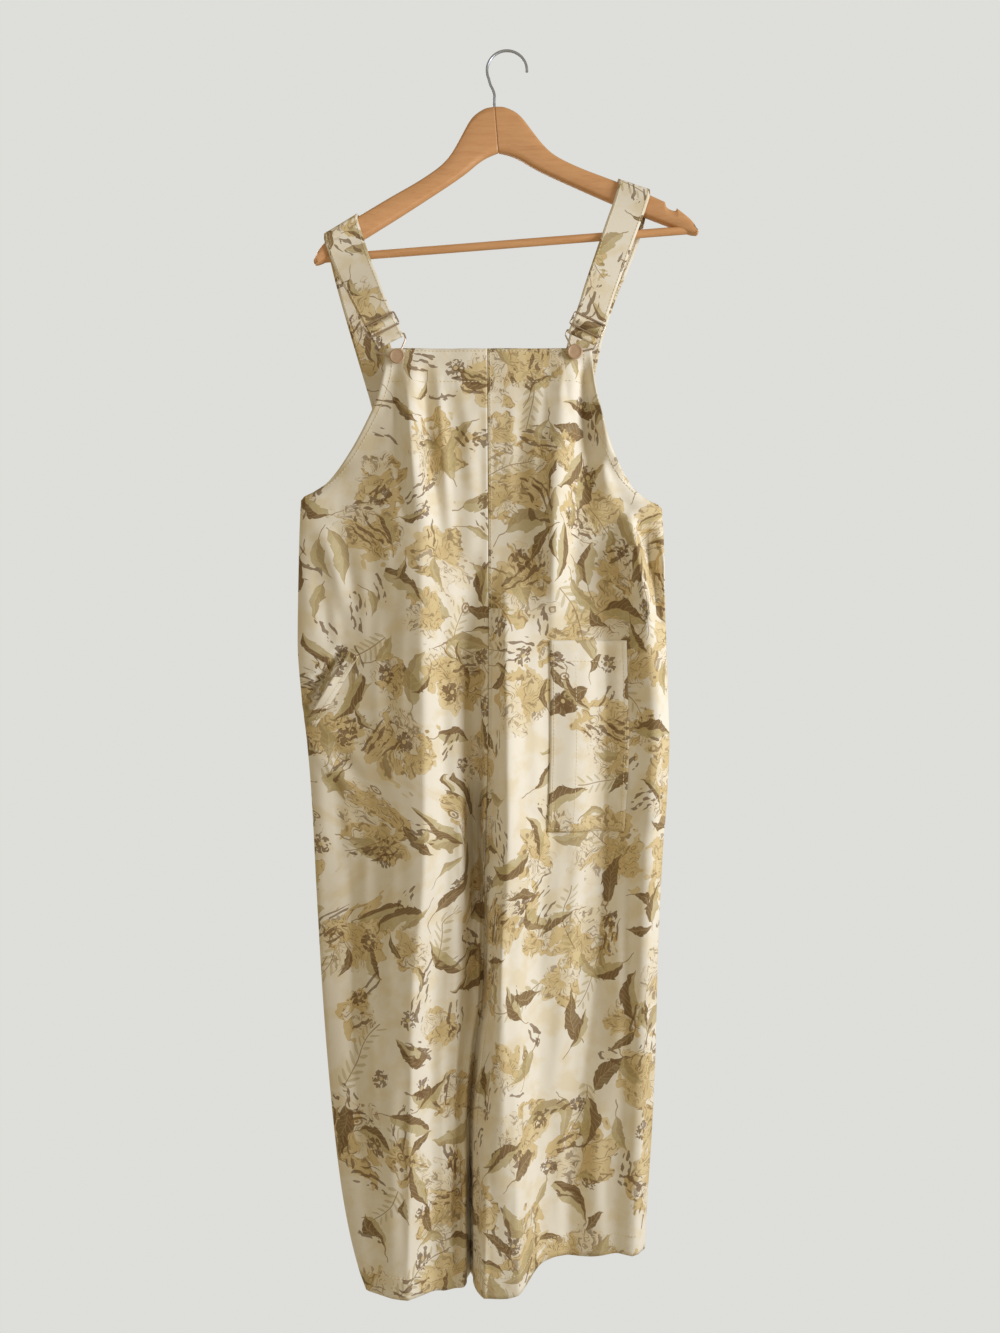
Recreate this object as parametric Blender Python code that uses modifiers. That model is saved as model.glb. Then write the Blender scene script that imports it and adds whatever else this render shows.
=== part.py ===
"""Bib overalls in printed cotton, hanging by their straps from a wooden hanger.

Lengths in the tables are millimetres.  X runs to the viewer's right, the
front faces -Y, and Z is up.  The origin is the point inside the steel hook
that bears on the peg.
"""

import math

import bmesh
import bpy
from mathutils import Vector

MM = 0.001
LEFT = -1.0
RIGHT = 1.0

# Body cloth.

CLOTH_THICK = 1.8
SEAM_HALF_GAP = 0.15
PATCH_THICK = 1.3
PATCH_LIFT = 0.4

BIB_TOP = -356.6
BACK_TOP = -382.0
UNDERARM = {LEFT: -529.0, RIGHT: -538.0}
CROTCH = -963.0
HEM = -1438.0

# Centre seam, then the line between the legs: height, x.
CENTRE_LINE = [
    (-356, -14.9), (-531, -13.8), (-692, -12.9), (-859, -15.0), (-963, -18.0),
    (-1039, -18.5), (-1111, -20.5), (-1161, -28.0), (-1259, -35.5), (-1440, -35.0),
]

# Armhole edge, then the side seam: height, x.
OUTER_LINE = {
    LEFT: [
        (-356, -132.0), (-376, -133.0), (-411, -140.5), (-451, -158.0),
        (-485, -178.4), (-508, -198.0), (-521, -215.0), (-529, -229.0),
        (-599, -231.6), (-692, -232.8), (-761, -228.0), (-808, -222.3),
        (-877, -216.6), (-993, -210.8), (-1109, -204.0), (-1225, -194.7),
        (-1318, -184.0), (-1376, -173.5), (-1417, -162.5), (-1440, -154.0),
    ],
    RIGHT: [
        (-356, 105.7), (-376, 106.2), (-428, 114.9), (-474, 130.0),
        (-505, 146.0), (-522, 161.0), (-532, 174.0), (-538, 186.5),
        (-599, 189.4), (-692, 191.7), (-761, 194.1), (-808, 195.5),
        (-878, 192.7), (-936, 188.5), (-1053, 183.6), (-1171, 181.3),
        (-1290, 177.1), (-1350, 174.0), (-1411, 171.0), (-1440, 170.0),
    ],
}

# Resting depth of the cloth before its folds: height, y.
FRONT_REST = {
    LEFT: [(-356, -37), (-470, -38), (-560, -42), (-700, -44), (-930, -40),
           (-1100, -37), (-1260, -34), (-1440, -32)],
    RIGHT: [(-356, -37), (-470, -38), (-560, -42), (-700, -44), (-930, -36),
            (-1100, -28), (-1260, -20), (-1440, -12)],
}
BACK_REST = {
    LEFT: [(-356, 3), (-420, 4), (-470, 6), (-560, 14), (-700, 23), (-930, 25),
           (-1100, 25), (-1440, 22)],
    RIGHT: [(-356, 3), (-420, 4), (-470, 6), (-560, 14), (-700, 23), (-930, 26),
            (-1100, 28), (-1440, 32)],
}
SIDE_DEPTH = {
    LEFT: [(-356, -26), (-529, -25), (-900, -24), (-1440, -21)],
    RIGHT: [(-356, -22), (-538, -20), (-800, -18), (-1053, -10), (-1230, -3),
            (-1440, 3)],
}
INSEAM_DEPTH = [(-356, -26), (-963, -26), (-1200, -16), (-1440, -6)]

# Folds: name, half width of the level crest, half widths of the slopes towards
# -x and +x, then rows of height, x, rise.
FRONT_FOLDS = {
    LEFT: [
        ("long ridge", 0, 95, 42, [
            (-382, -112, 0), (-398, -110, 2), (-470, -99, 12), (-557, -90, 22),
            (-693, -87, 30), (-928, -84, 34), (-1095, -98, 35), (-1263, -101, 34),
            (-1440, -104, 30)]),
        ("outer crease", 0, 18, 22, [
            (-900, -178, 0), (-1010, -170, -5), (-1180, -163, -9),
            (-1320, -150, -6), (-1440, -140, -3)]),
        ("inner ripple", 0, 15, 15, [
            (-960, -54, 0), (-1060, -58, 5), (-1200, -66, 8), (-1440, -64, 6)]),
    ],
    RIGHT: [
        ("bib ridge", 0, 36, 30, [
            (-385, 54, 0), (-418, 55, 6), (-560, 58, 16), (-640, 60, 12),
            (-692, 60, 6), (-770, 62, 0)]),
        ("bib crease", 0, 16, 17, [
            (-366, 93, 0), (-392, 93, -6), (-500, 96, -7), (-580, 100, 0)]),
        ("inner ridge", 0, 30, 56, [
            (-600, 6, 0), (-692, 6, 22), (-800, 8, 32), (-928, 9, 36),
            (-1095, 4, 36), (-1200, 4, 24), (-1300, 6, 8), (-1380, 8, 0)]),
        ("hem roll", 20, 24, 28, [
            (-1050, 2, 0), (-1150, 0, 14), (-1250, -2, 32), (-1340, 0, 44),
            (-1440, 2, 46)]),
        ("long valley", 0, 40, 38, [
            (-530, 114, 0), (-610, 117, -8), (-761, 122, -14), (-934, 122, -19),
            (-1107, 110, -18), (-1230, 94, -15), (-1340, 84, -13),
            (-1440, 80, -12)]),
        ("side ridge", 0, 24, 15, [
            (-540, 146, 0), (-600, 156, 14), (-646, 163, 16), (-703, 172, 15),
            (-783, 178, 15), (-933, 172, 14), (-1103, 165, 14),
            (-1272, 160, 15), (-1440, 156, 15)]),
    ],
}
BACK_FOLDS = {
    LEFT: [
        ("outer ridge", 0, 40, 34, [
            (-470, -150, 0), (-600, -165, 7), (-860, -168, 12), (-1200, -150, 10),
            (-1440, -132, 8)]),
        ("middle ridge", 0, 30, 38, [
            (-420, -88, 0), (-560, -92, 6), (-820, -96, 10), (-1120, -100, 13),
            (-1440, -92, 11)]),
        ("seat fold", 0, 26, 22, [
            (-640, -44, 0), (-760, -46, 6), (-940, -52, 9), (-1200, -58, 5),
            (-1440, -60, 3)]),
    ],
    RIGHT: [
        ("outer ridge", 0, 36, 30, [
            (-480, 128, 0), (-620, 140, 8), (-900, 144, 10), (-1240, 134, 12),
            (-1440, 128, 9)]),
        ("middle ridge", 0, 34, 28, [
            (-430, 60, 0), (-580, 66, 5), (-840, 72, 11), (-1160, 64, 9),
            (-1440, 56, 12)]),
        ("seat fold", 0, 20, 26, [
            (-650, 20, 0), (-780, 22, 5), (-960, 24, 8), (-1220, 18, 6),
            (-1440, 12, 4)]),
    ],
}

ROUND_SHARE = 0.12
FIRST_STRIP = 0.04
OUTER_ROUND = 30.0
INNER_ROUND = 18.0
SEAT_RISE = 270.0
BACK_ARMHOLE_INSET = 5.0
HEM_LIFT = {LEFT: 0.0, RIGHT: 24.0}
HEM_LIFT_START = -1150.0

COLUMNS = {
    LEFT: [0.0, 0.04, 0.08, 0.12, 0.20, 0.28, 0.36, 0.45, 0.54, 0.63, 0.72,
           0.80, 0.88, 0.92, 0.96, 1.0],
    RIGHT: [0.0, 0.04, 0.08, 0.12, 0.20, 0.28, 0.37, 0.46, 0.55, 0.64, 0.72,
            0.80, 0.88, 0.92, 0.96, 1.0],
}
ROWS = [
    -366, -380, -395, -415, -435, -455, -472, -487, -499, -508, -515, -521,
    -525, -529, -534, -538, -556, -580, -612, -650, -692, -735, -780, -825,
    -870, -912, -932, -948, -957, -963, -972, -990, -1020, -1065, -1120,
    -1180, -1245, -1310, -1370, -1412, -1438,
]
POCKET_COLUMNS = (0.37, 0.80)
POCKET_ROWS = (-692, -912)

# Hip pocket mouth: x and height of its ends, width of the turned strip.
MOUTH_TOP = (-172.0, -704.0)
MOUTH_END = (-221.5, -784.0)
MOUTH_WIDTH = 13.0
MOUTH_GAPE = 4.0
MOUTH_LIFT = 1.0

# Hanger.

HANGER_X = 7.0
HANGER_Z = -235.0
HANGER_TILT = math.radians(4.5)
HANGER_HALF = 221.5
ARM_FORWARD = 20.0
ARM_THICK = 13.0
ARM_ROUND = 4.0

# Arm outline: distance from the middle, top, bottom.
ARM_OUTLINE = [
    (0.15, 171.8, 118.4), (8.0, 171.2, 116.0), (12.0, 170.3, 114.6),
    (20.0, 166.4, 110.9), (28.0, 160.7, 105.7), (35.0, 150.5, 100.2),
    (42.0, 139.5, 95.6), (57.0, 115.7, 86.4), (72.0, 104.2, 77.8),
    (86.0, 95.5, 69.9), (105.0, 85.0, 58.9), (125.0, 75.4, 47.5),
    (146.0, 64.0, 35.8), (157.0, 58.0, 29.4), (169.0, 51.5, 23.0),
    (180.0, 44.6, 17.0), (188.4, 39.2, 12.5), (189.9, 33.0, 11.7),
    (195.0, 31.2, 8.8), (200.1, 26.4, 5.9), (201.6, 30.0, 5.0),
    (207.0, 24.8, 2.0), (214.0, 17.6, -1.4), (218.5, 11.6, -2.9),
    (221.5, 5.6, -3.4),
]

BAR_RADIUS = 4.75
BAR_HALF = 204.0
BAR_UP = 4.0
FIT_GAP = 0.3

WIRE_RADIUS = 1.65
HOOK_CENTRE = (8.1, -20.3)
HOOK_RADIUS = 23.5
STEM_UP = 171.8
STEM_DEPTH = 22.0

# Straps and their fittings.

STRAP_THICK = 2.0
SLIDER_PITCH = 7.5
SLIDER_HALF = 19.2
SLIDER_WIRE = 1.0
SLIDER_PLANE = 2.7
STRAP_BULGE = 5.2
CLIP_WIRE = 1.0
CLIP_HALF = 19.0
LOOP_RADIUS = 2.1
STRAP_FRONT_Y = -42.0
CLIP_Y = -40.0
BIB_Y = -37.0

# Where each slider and button is: x, height, and how far the clip bar is
# above the button.
FITTINGS = {
    LEFT: {"slider": (-135.6, -331.6), "button": (-117.7, -366.8), "bar": 21.0},
    RIGHT: {"slider": (100.2, -331.1), "button": (85.7, -361.8), "bar": 20.0},
}

# Strap from the back bib over the hanger: x, y, height, half width, slope of
# the width line in degrees, lean of the width line in y.
STRAP_ROWS = {
    LEFT: [
        (-128.0, 6.1, -428, 19.8, 15, 0.0),
        (-134.5, 6.2, -402, 20.0, 15, 0.0), (-139.5, 5.8, -384, 20.3, 15, 0.0),
        (-150.0, 3.6, -346, 21.0, 16, 0.0), (-161.5, 1.0, -304, 21.8, 18, 0.02),
        (-172.0, -1.8, -264, 22.6, 24, 0.06), (-179.0, -4.6, -236, 23.0, 31, 0.14),
        (-184.2, -5.8, -217.0, 23.2, 34, 0.154), (-184.5, -6.6, -210.4, 23.2, 34.4, 0.154),
        (-184.5, -10.4, -207.4, 23.2, 34.4, 0.154), (-184.5, -14.6, -206.9, 23.2, 34.4, 0.154),
        (-184.5, -18.8, -207.4, 23.2, 34.4, 0.154), (-184.5, -22.6, -210.4, 23.2, 34.4, 0.154),
        (-184.0, -23.6, -217.0, 23.1, 34, 0.154), (-177.0, -24.2, -238, 22.4, 30, 0.10),
        (-168.0, -29.5, -262, 21.2, 26, 0.04), (-158.0, -35.8, -284, 19.8, 24, 0.0),
        (-149.5, -40.4, -303, 18.4, 24.5, 0.0),
    ],
    RIGHT: [
        (84.5, 6.2, -402, 20.0, -15, 0.0), (90.0, 5.8, -384, 19.9, -15, 0.0),
        (101.5, 4.0, -334, 19.7, -15.5, 0.0), (116.0, 2.4, -288, 19.6, -17, 0.0),
        (136.0, 1.2, -240, 19.5, -18, -0.05), (148.0, -0.2, -207, 19.5, -19.5, -0.10),
        (154.0, -1.1, -181.7, 19.5, -21, -0.122), (155.9, -0.9, -169.1, 19.5, -21.6, -0.122),
        (156.0, -1.8, -162.9, 19.5, -21.6, -0.122), (156.0, -5.6, -159.9, 19.5, -21.6, -0.122),
        (156.0, -9.8, -159.4, 19.5, -21.6, -0.122), (156.0, -14.0, -159.9, 19.5, -21.6, -0.122),
        (156.0, -17.9, -162.9, 19.5, -21.6, -0.122), (155.7, -18.7, -169.1, 19.5, -21.6, -0.122),
        (149.5, -19.2, -189, 19.3, -20, -0.10), (141.6, -24.0, -211, 19.0, -18.5, -0.05),
        (132.5, -28.8, -237, 18.7, -17.5, -0.02), (122.8, -34.4, -265, 18.4, -17.5, 0.0),
        (113.6, -39.2, -292, 18.1, -20, 0.0), (109.2, -41.2, -306, 17.9, -22, 0.0),
    ],
}

COLOURS = {
    "cotton": (0.74, 0.66, 0.50, 1.0),
    "wood": (0.62, 0.33, 0.15, 1.0),
    "steel": (0.62, 0.62, 0.60, 1.0),
    "button": (0.48, 0.34, 0.21, 1.0),
}


# Small helpers.

def new_collection(name):
    group = bpy.data.collections.new(name)
    bpy.context.scene.collection.children.link(group)
    return group


def add_material(obj, kind, metallic, roughness):
    mat = bpy.data.materials.new(obj.name + "_" + kind)
    mat.use_nodes = True
    shader = mat.node_tree.nodes["Principled BSDF"]
    shader.inputs["Base Color"].default_value = COLOURS[kind]
    shader.inputs["Metallic"].default_value = metallic
    shader.inputs["Roughness"].default_value = roughness
    obj.data.materials.append(mat)


def read_line(rows, height, column=1):
    """Value of a table at a height, joined smoothly between its rows."""
    if height >= rows[0][0]:
        return rows[0][column]
    if height <= rows[-1][0]:
        return rows[-1][column]
    at = 0
    while rows[at + 1][0] > height:
        at += 1
    z0, v0 = rows[at][0], rows[at][column]
    z1, v1 = rows[at + 1][0], rows[at + 1][column]
    span = z1 - z0
    slope = (v1 - v0) / span
    before = slope
    after = slope
    if at > 0:
        before = (v0 - rows[at - 1][column]) / (z0 - rows[at - 1][0])
    if at + 2 < len(rows):
        after = (rows[at + 2][column] - v1) / (rows[at + 2][0] - z1)
    m0 = 0.0 if before * slope <= 0 else 2 * before * slope / (before + slope)
    m1 = 0.0 if after * slope <= 0 else 2 * after * slope / (after + slope)
    t = (height - z0) / span
    return (v0 * (1 + 2 * t) * (1 - t) ** 2 + m0 * span * t * (1 - t) ** 2
            + v1 * t * t * (3 - 2 * t) + m1 * span * t * t * (t - 1))


def ramp(value, start, end):
    t = min(1.0, max(0.0, (value - start) / (end - start)))
    return t * t * (3 - 2 * t)


# The body's form.

def centre_share(height):
    """1 where the halves lie flat across the centre seam, 0 on the legs."""
    rise = min(1.0, max(0.0, (height - CROTCH) / SEAT_RISE))
    return math.sqrt(1 - (1 - rise) ** 2)


def side_share(side, height):
    """0 along the open armhole, 1 where the side seam closes the body."""
    return ramp(height, UNDERARM[side] + 52, UNDERARM[side] + 5)


def fold_rise(folds, x, height):
    total = 0.0
    for _name, crest, wide_minus, wide_plus, rows in folds:
        rise = read_line(rows, height, 2)
        if abs(rise) < 0.01:
            continue
        off = x - read_line(rows, height, 1)
        past = max(0.0, abs(off) - crest)
        reach = past / (wide_plus if off > 0 else wide_minus)
        if abs(reach) < 1:
            total += rise * math.cos(reach * math.pi / 2) ** 2
    return total


def strip_angle(share):
    """Angle round a rounded edge, and the same held at 0 for its first strip."""
    angle = share * math.pi / 2
    start = FIRST_STRIP / ROUND_SHARE * math.pi / 2
    held = max(0.0, (angle - start) / (math.pi / 2 - start)) * math.pi / 2
    return angle, held


def inner_x(side, height):
    below = ramp(height, CROTCH, CROTCH - 30)
    return read_line(CENTRE_LINE, height) + side * (SEAM_HALF_GAP + 1.4 * below)


def outer_x(side, height, front):
    x = read_line(OUTER_LINE[side], height)
    inset = 0.0 if front else BACK_ARMHOLE_INSET * (1 - side_share(side, height))
    return x - side * inset


def body_point(side, front, across, height):
    """Point of a body panel, 0 to 1 across from its inner to its outer edge."""
    flat = centre_share(height)
    closed = side_share(side, height)
    x_in = inner_x(side, height)
    x_out = outer_x(side, height, front)
    x_flat_in = x_in + side * INNER_ROUND
    x_flat_out = x_out - side * OUTER_ROUND
    facing = -1.0 if front else 1.0
    rest = (FRONT_REST if front else BACK_REST)[side]
    folds = (FRONT_FOLDS if front else BACK_FOLDS)[side]
    share_in = 1.0
    share_out = 1.0
    if across < ROUND_SHARE:
        share = across / ROUND_SHARE
        angle, held = strip_angle(share)
        along = flat * share + (1 - flat) * (1 - math.cos(held))
        x = x_in + side * INNER_ROUND * along
        share_in = flat * math.sin(held) ** 2 + (1 - flat) * math.sin(angle)
    elif across > 1 - ROUND_SHARE:
        share = (1 - across) / ROUND_SHARE
        angle, held = strip_angle(share)
        along = (1 - closed) * share + closed * (1 - math.cos(held))
        x = x_out - side * OUTER_ROUND * along
        share_out = (1 - closed) + closed * math.sin(angle)
    else:
        share = (across - ROUND_SHARE) / (1 - 2 * ROUND_SHARE)
        x = x_flat_in + (x_flat_out - x_flat_in) * share
    level = read_line(rest, height)
    y = level + facing * fold_rise(folds, x, height)
    seam = read_line(INSEAM_DEPTH, height) + facing * SEAM_HALF_GAP
    y_in = seam + (level - seam) * flat
    y_side = read_line(SIDE_DEPTH[side], height) + facing * SEAM_HALF_GAP
    y = y_in + (y - y_in) * share_in
    y = y_side + (y - y_side) * share_out
    lift = HEM_LIFT[side] * ramp(height, HEM_LIFT_START, HEM)
    z = height + lift * ramp(across, 0.25, 0.55)
    return Vector((x, y, z))


def panel_rows(front):
    top = BIB_TOP if front else BACK_TOP
    return [top] + [row for row in ROWS if row < top - 6]


def grid_mesh(name, points, facing_y):
    """Open sheet over a grid of points, its faces turned to facing_y."""
    mesh = bpy.data.meshes.new(name)
    wide = len(points[0])
    verts = [tuple(p * MM) for row in points for p in row]
    faces = []
    for r in range(len(points) - 1):
        for c in range(wide - 1):
            a = r * wide + c
            faces.append((a, a + 1, a + wide + 1, a + wide))
    mesh.from_pydata(verts, [], faces)
    total = sum((f.normal.y * f.area for f in mesh.polygons), 0.0)
    if total * facing_y < 0:
        mesh.flip_normals()
    return mesh


def add_sheet(group, name, points, facing_y, thick, outward, kind="cotton"):
    mesh = grid_mesh(name, points, facing_y)
    obj = bpy.data.objects.new(name, mesh)
    group.objects.link(obj)
    shell = obj.modifiers.new("cloth", "SOLIDIFY")
    shell.thickness = thick * MM
    shell.offset = 1.0 if outward else -1.0
    add_material(obj, kind, 0.0, 0.9)
    return obj


def panel_grid(side, front, columns, rows):
    return [[body_point(side, front, c, r) for c in columns] for r in rows]


def moved_out(points, lift, facing_y):
    """The same grid of points, each moved along the sheet's own normal."""
    moved = []
    for r, row in enumerate(points):
        line = []
        for c, p in enumerate(row):
            before = row[max(c - 1, 0)]
            after = row[min(c + 1, len(row) - 1)]
            above = points[max(r - 1, 0)][c]
            below = points[min(r + 1, len(points) - 1)][c]
            normal = (after - before).cross(above - below).normalized()
            if normal.y * facing_y < 0:
                normal = -normal
            line.append(p + normal * lift)
        moved.append(line)
    return moved


def add_body(group):
    names = {(LEFT, True): "front_left", (RIGHT, True): "front_right",
             (LEFT, False): "back_left", (RIGHT, False): "back_right"}
    for (side, front), name in names.items():
        points = panel_grid(side, front, COLUMNS[side], panel_rows(front))
        add_sheet(group, name, points, -1 if front else 1, CLOTH_THICK, False)


def add_patch_pocket(group):
    low, high = POCKET_COLUMNS
    columns = [c for c in COLUMNS[RIGHT] if low <= c <= high]
    top, bottom = POCKET_ROWS
    rows = [r for r in ROWS if bottom <= r <= top]
    points = panel_grid(RIGHT, True, columns, rows)
    lifted = moved_out(points, PATCH_LIFT, -1)
    add_sheet(group, "pocket_patch_right", lifted, -1, PATCH_THICK, True)


def across_at(side, front, x, height):
    """How far across the panel its surface has the given x."""
    low, high = 0.0, 1.0
    for _step in range(30):
        middle = (low + high) / 2
        if (body_point(side, front, middle, height).x - x) * side < 0:
            low = middle
        else:
            high = middle
    return (low + high) / 2


def add_pocket_mouth(group):
    steps = 9
    run_x = MOUTH_END[0] - MOUTH_TOP[0]
    run_z = MOUTH_END[1] - MOUTH_TOP[1]
    length = math.hypot(run_x, run_z)
    away = (-run_z / length, run_x / length)
    strip = []
    for step in range(steps + 1):
        part = step / steps
        line = []
        for share in (0.0, 0.5, 1.0):
            x = MOUTH_TOP[0] + run_x * part + away[0] * MOUTH_WIDTH * share
            z = MOUTH_TOP[1] + run_z * part + away[1] * MOUTH_WIDTH * share
            across = across_at(LEFT, True, x, z)
            line.append(body_point(LEFT, True, across, z))
        strip.append(line)
    lifted = moved_out(strip, MOUTH_LIFT, -1)
    for step, line in enumerate(lifted):
        gape = MOUTH_GAPE * math.sin(math.pi * ramp(step / steps, 0.2, 1.0))
        line[0].y -= gape
        line[1].y -= gape * 0.4
    add_sheet(group, "pocket_mouth_left", lifted, -1, PATCH_THICK, True)


# Straps.

def fitting_frame(side):
    """Slider point, direction down the strap, direction across, bar distance."""
    sx, sz = FITTINGS[side]["slider"]
    bx, bz = FITTINGS[side]["button"]
    reach = math.hypot(bx - sx, bz - sz)
    down = Vector(((bx - sx) / reach, 0, (bz - sz) / reach))
    across = Vector((-down.z, 0, down.x))
    return Vector((sx, 0, sz)), down, across, reach - FITTINGS[side]["bar"]


def strap_end_rows(side):
    """Rows through the slider and round the clip bar, with their cross lines."""
    start, down, across, bar_at = fitting_frame(side)
    rows = []

    def put(along, out, half):
        centre = start + down * along + Vector((0, STRAP_FRONT_Y - out, 0))
        rows.append((centre, across, half))

    put(-12.0, 0.1, 17.4)
    for step in range(-6, 7):
        along = step / 6 * SLIDER_PITCH
        out = 0.1 + STRAP_BULGE * (0.5 + 0.5 * math.cos(math.pi * along / SLIDER_PITCH))
        put(along, out, 17.2)
    if bar_at > 15:
        put(12.5, 0.1, 17.0)
    for step in range(0, 9):
        turn = math.pi * step / 8
        along = bar_at + LOOP_RADIUS * math.sin(turn)
        out = 0.1 - LOOP_RADIUS + LOOP_RADIUS * math.cos(turn)
        put(along, out, 17.0)
    put(bar_at - 5.0, 0.1 - 2 * LOOP_RADIUS, 17.0)
    put(bar_at - 9.0, 0.1 - 2 * LOOP_RADIUS, 17.0)
    return rows


def add_strap(group, side):
    rows = []
    for x, y, z, half, slope, lean in STRAP_ROWS[side]:
        angle = math.radians(slope)
        line = Vector((math.cos(angle), lean, math.sin(angle))).normalized()
        rows.append((Vector((x, y, z)), line, half))
    rows.extend(strap_end_rows(side))
    points = []
    for centre, line, half in rows:
        points.append([centre + line * half * s for s in (-1, -0.35, 0.35, 1)])
    name = "strap_left" if side == LEFT else "strap_right"
    mesh = grid_mesh(name, points, 1)
    obj = bpy.data.objects.new(name, mesh)
    group.objects.link(obj)
    band = obj.modifiers.new("cloth", "SOLIDIFY")
    band.thickness = STRAP_THICK * MM
    band.offset = 0.0
    add_material(obj, "cotton", 0.0, 0.9)


# Wires, bars and turned pieces.

def tube(group, name, points, radius, closed, kind, metallic=0.0, sides=2):
    curve = bpy.data.curves.new(name, "CURVE")
    curve.dimensions = "3D"
    curve.bevel_depth = radius * MM
    curve.bevel_resolution = sides
    curve.resolution_u = 1
    curve.use_fill_caps = not closed
    line = curve.splines.new("POLY")
    line.points.add(len(points) - 1)
    for spot, p in zip(line.points, points):
        spot.co = (p[0] * MM, p[1] * MM, p[2] * MM, 1.0)
    line.use_cyclic_u = closed
    obj = bpy.data.objects.new(name, curve)
    group.objects.link(obj)
    if kind:
        add_material(obj, kind, metallic, 0.35)
    return obj


def to_mesh(obj):
    """A plain mesh object in place of a curve object."""
    graph = bpy.context.evaluated_depsgraph_get()
    mesh = bpy.data.meshes.new_from_object(obj.evaluated_get(graph))
    mesh.name = obj.name
    group = obj.users_collection[0]
    name = obj.name
    bpy.data.objects.remove(obj)
    solid = bpy.data.objects.new(name, mesh)
    group.objects.link(solid)
    return solid


def cut_or_join(target, tool, operation):
    step = target.modifiers.new(tool.name, "BOOLEAN")
    step.operation = operation
    step.object = tool
    step.solver = "EXACT"


def arc(centre, radius, start, end, steps):
    turn = [math.radians(start + (end - start) * i / steps) for i in range(steps + 1)]
    return [(centre[0] + radius * math.cos(a), centre[1] + radius * math.sin(a)) for a in turn]


def rounded_loop(corners, steps):
    """Loop of points with each corner (s, t, radius) rounded."""
    loop = []
    count = len(corners)
    for i, (s, t, radius) in enumerate(corners):
        here = Vector((s, t, 0))
        back = (Vector((corners[i - 1][0], corners[i - 1][1], 0)) - here).normalized()
        ahead = Vector((corners[(i + 1) % count][0], corners[(i + 1) % count][1], 0)) - here
        ahead.normalize()
        half = math.acos(max(-1.0, min(1.0, back.dot(ahead)))) / 2
        reach = radius / math.tan(half)
        first = here + back * reach
        last = here + ahead * reach
        for step in range(steps + 1):
            w = step / steps
            loop.append((1 - w) ** 2 * first + 2 * w * (1 - w) * here + w * w * last)
    return loop


def add_slider(group, cutters, side):
    start, down, across, _bar_at = fitting_frame(side)
    start = start + Vector((0, STRAP_FRONT_Y - SLIDER_PLANE, 0))
    corners = [(-SLIDER_HALF, -SLIDER_PITCH, 2.2), (SLIDER_HALF, -SLIDER_PITCH, 2.2),
               (SLIDER_HALF, SLIDER_PITCH, 2.2), (-SLIDER_HALF, SLIDER_PITCH, 2.2)]
    loop = [start + across * p.x + down * p.y for p in rounded_loop(corners, 3)]
    name = "slider_left" if side == LEFT else "slider_right"
    frame = tube(group, name, loop, SLIDER_WIRE, True, "steel", 1.0, 1)
    frame = to_mesh(frame)
    ends = [start - across * SLIDER_HALF, start + across * SLIDER_HALF]
    bar = tube(cutters, name + "_bar", ends, SLIDER_WIRE * 1.15, False, None, 0.0, 1)
    bar = to_mesh(bar)
    cut_or_join(frame, bar, "UNION")


def add_clip(group, side):
    start, down, across, bar_at = fitting_frame(side)
    drop = FITTINGS[side]["bar"]
    corners = [(-CLIP_HALF, -drop, 1.9), (CLIP_HALF, -drop, 1.9),
               (CLIP_HALF - 1.0, -drop + 7.0, 4.0), (4.6, -2.6, 9.0), (4.0, 4.3, 3.2),
               (-4.0, 4.3, 3.2), (-4.6, -2.6, 9.0), (-CLIP_HALF + 1.0, -drop + 7.0, 4.0)]
    button = start + down * (bar_at + drop) + Vector((0, CLIP_Y, 0))
    loop = [button + across * p.x + down * p.y for p in rounded_loop(corners, 3)]
    name = "clip_left" if side == LEFT else "clip_right"
    tube(group, name, loop, CLIP_WIRE, True, "steel", 1.0, 1)


def turned(group, name, profile, place, kind, metallic):
    """Solid turned round an axis along -Y, from rows of radius, distance."""
    sides = 20
    verts = [(place[0], place[1] - profile[0][1], place[2])]
    for radius, out in profile[1:-1]:
        for i in range(sides):
            a = 2 * math.pi * i / sides
            verts.append((place[0] + radius * math.cos(a), place[1] - out,
                          place[2] + radius * math.sin(a)))
    verts.append((place[0], place[1] - profile[-1][1], place[2]))
    rings = len(profile) - 2
    faces = []
    for i in range(sides):
        n = (i + 1) % sides
        faces.append((0, 1 + n, 1 + i))
        for ring in range(rings - 1):
            a = 1 + ring * sides
            b = a + sides
            faces.append((a + i, a + n, b + n, b + i))
        last = 1 + (rings - 1) * sides
        faces.append((last + i, last + n, len(verts) - 1))
    mesh = bpy.data.meshes.new(name)
    mesh.from_pydata([tuple(v * MM for v in p) for p in verts], [], faces)
    work = bmesh.new()
    work.from_mesh(mesh)
    bmesh.ops.recalc_face_normals(work, faces=work.faces)
    work.to_mesh(mesh)
    work.free()
    obj = bpy.data.objects.new(name, mesh)
    group.objects.link(obj)
    add_material(obj, kind, metallic, 0.5)


def add_button(group, side):
    bx, bz = FITTINGS[side]["button"]
    profile = [(0, 0.35), (4.4, 0.35), (4.4, 1.2), (2.1, 1.5), (2.1, 5.1), (8.2, 5.3),
               (8.75, 6.1), (8.5, 7.2), (7.4, 7.9), (6.6, 7.6), (0, 7.4)]
    name = "button_left" if side == LEFT else "button_right"
    turned(group, name, profile, (bx, BIB_Y, bz), "button", 0.6)


# Hanger.

def hanger_point(along, up, y):
    x = HANGER_X + along * math.cos(HANGER_TILT) - up * math.sin(HANGER_TILT)
    z = HANGER_Z + along * math.sin(HANGER_TILT) + up * math.cos(HANGER_TILT)
    return Vector((x, y, z))


def arm_depth(along):
    return -ARM_FORWARD * (along / HANGER_HALF) ** 2


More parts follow.
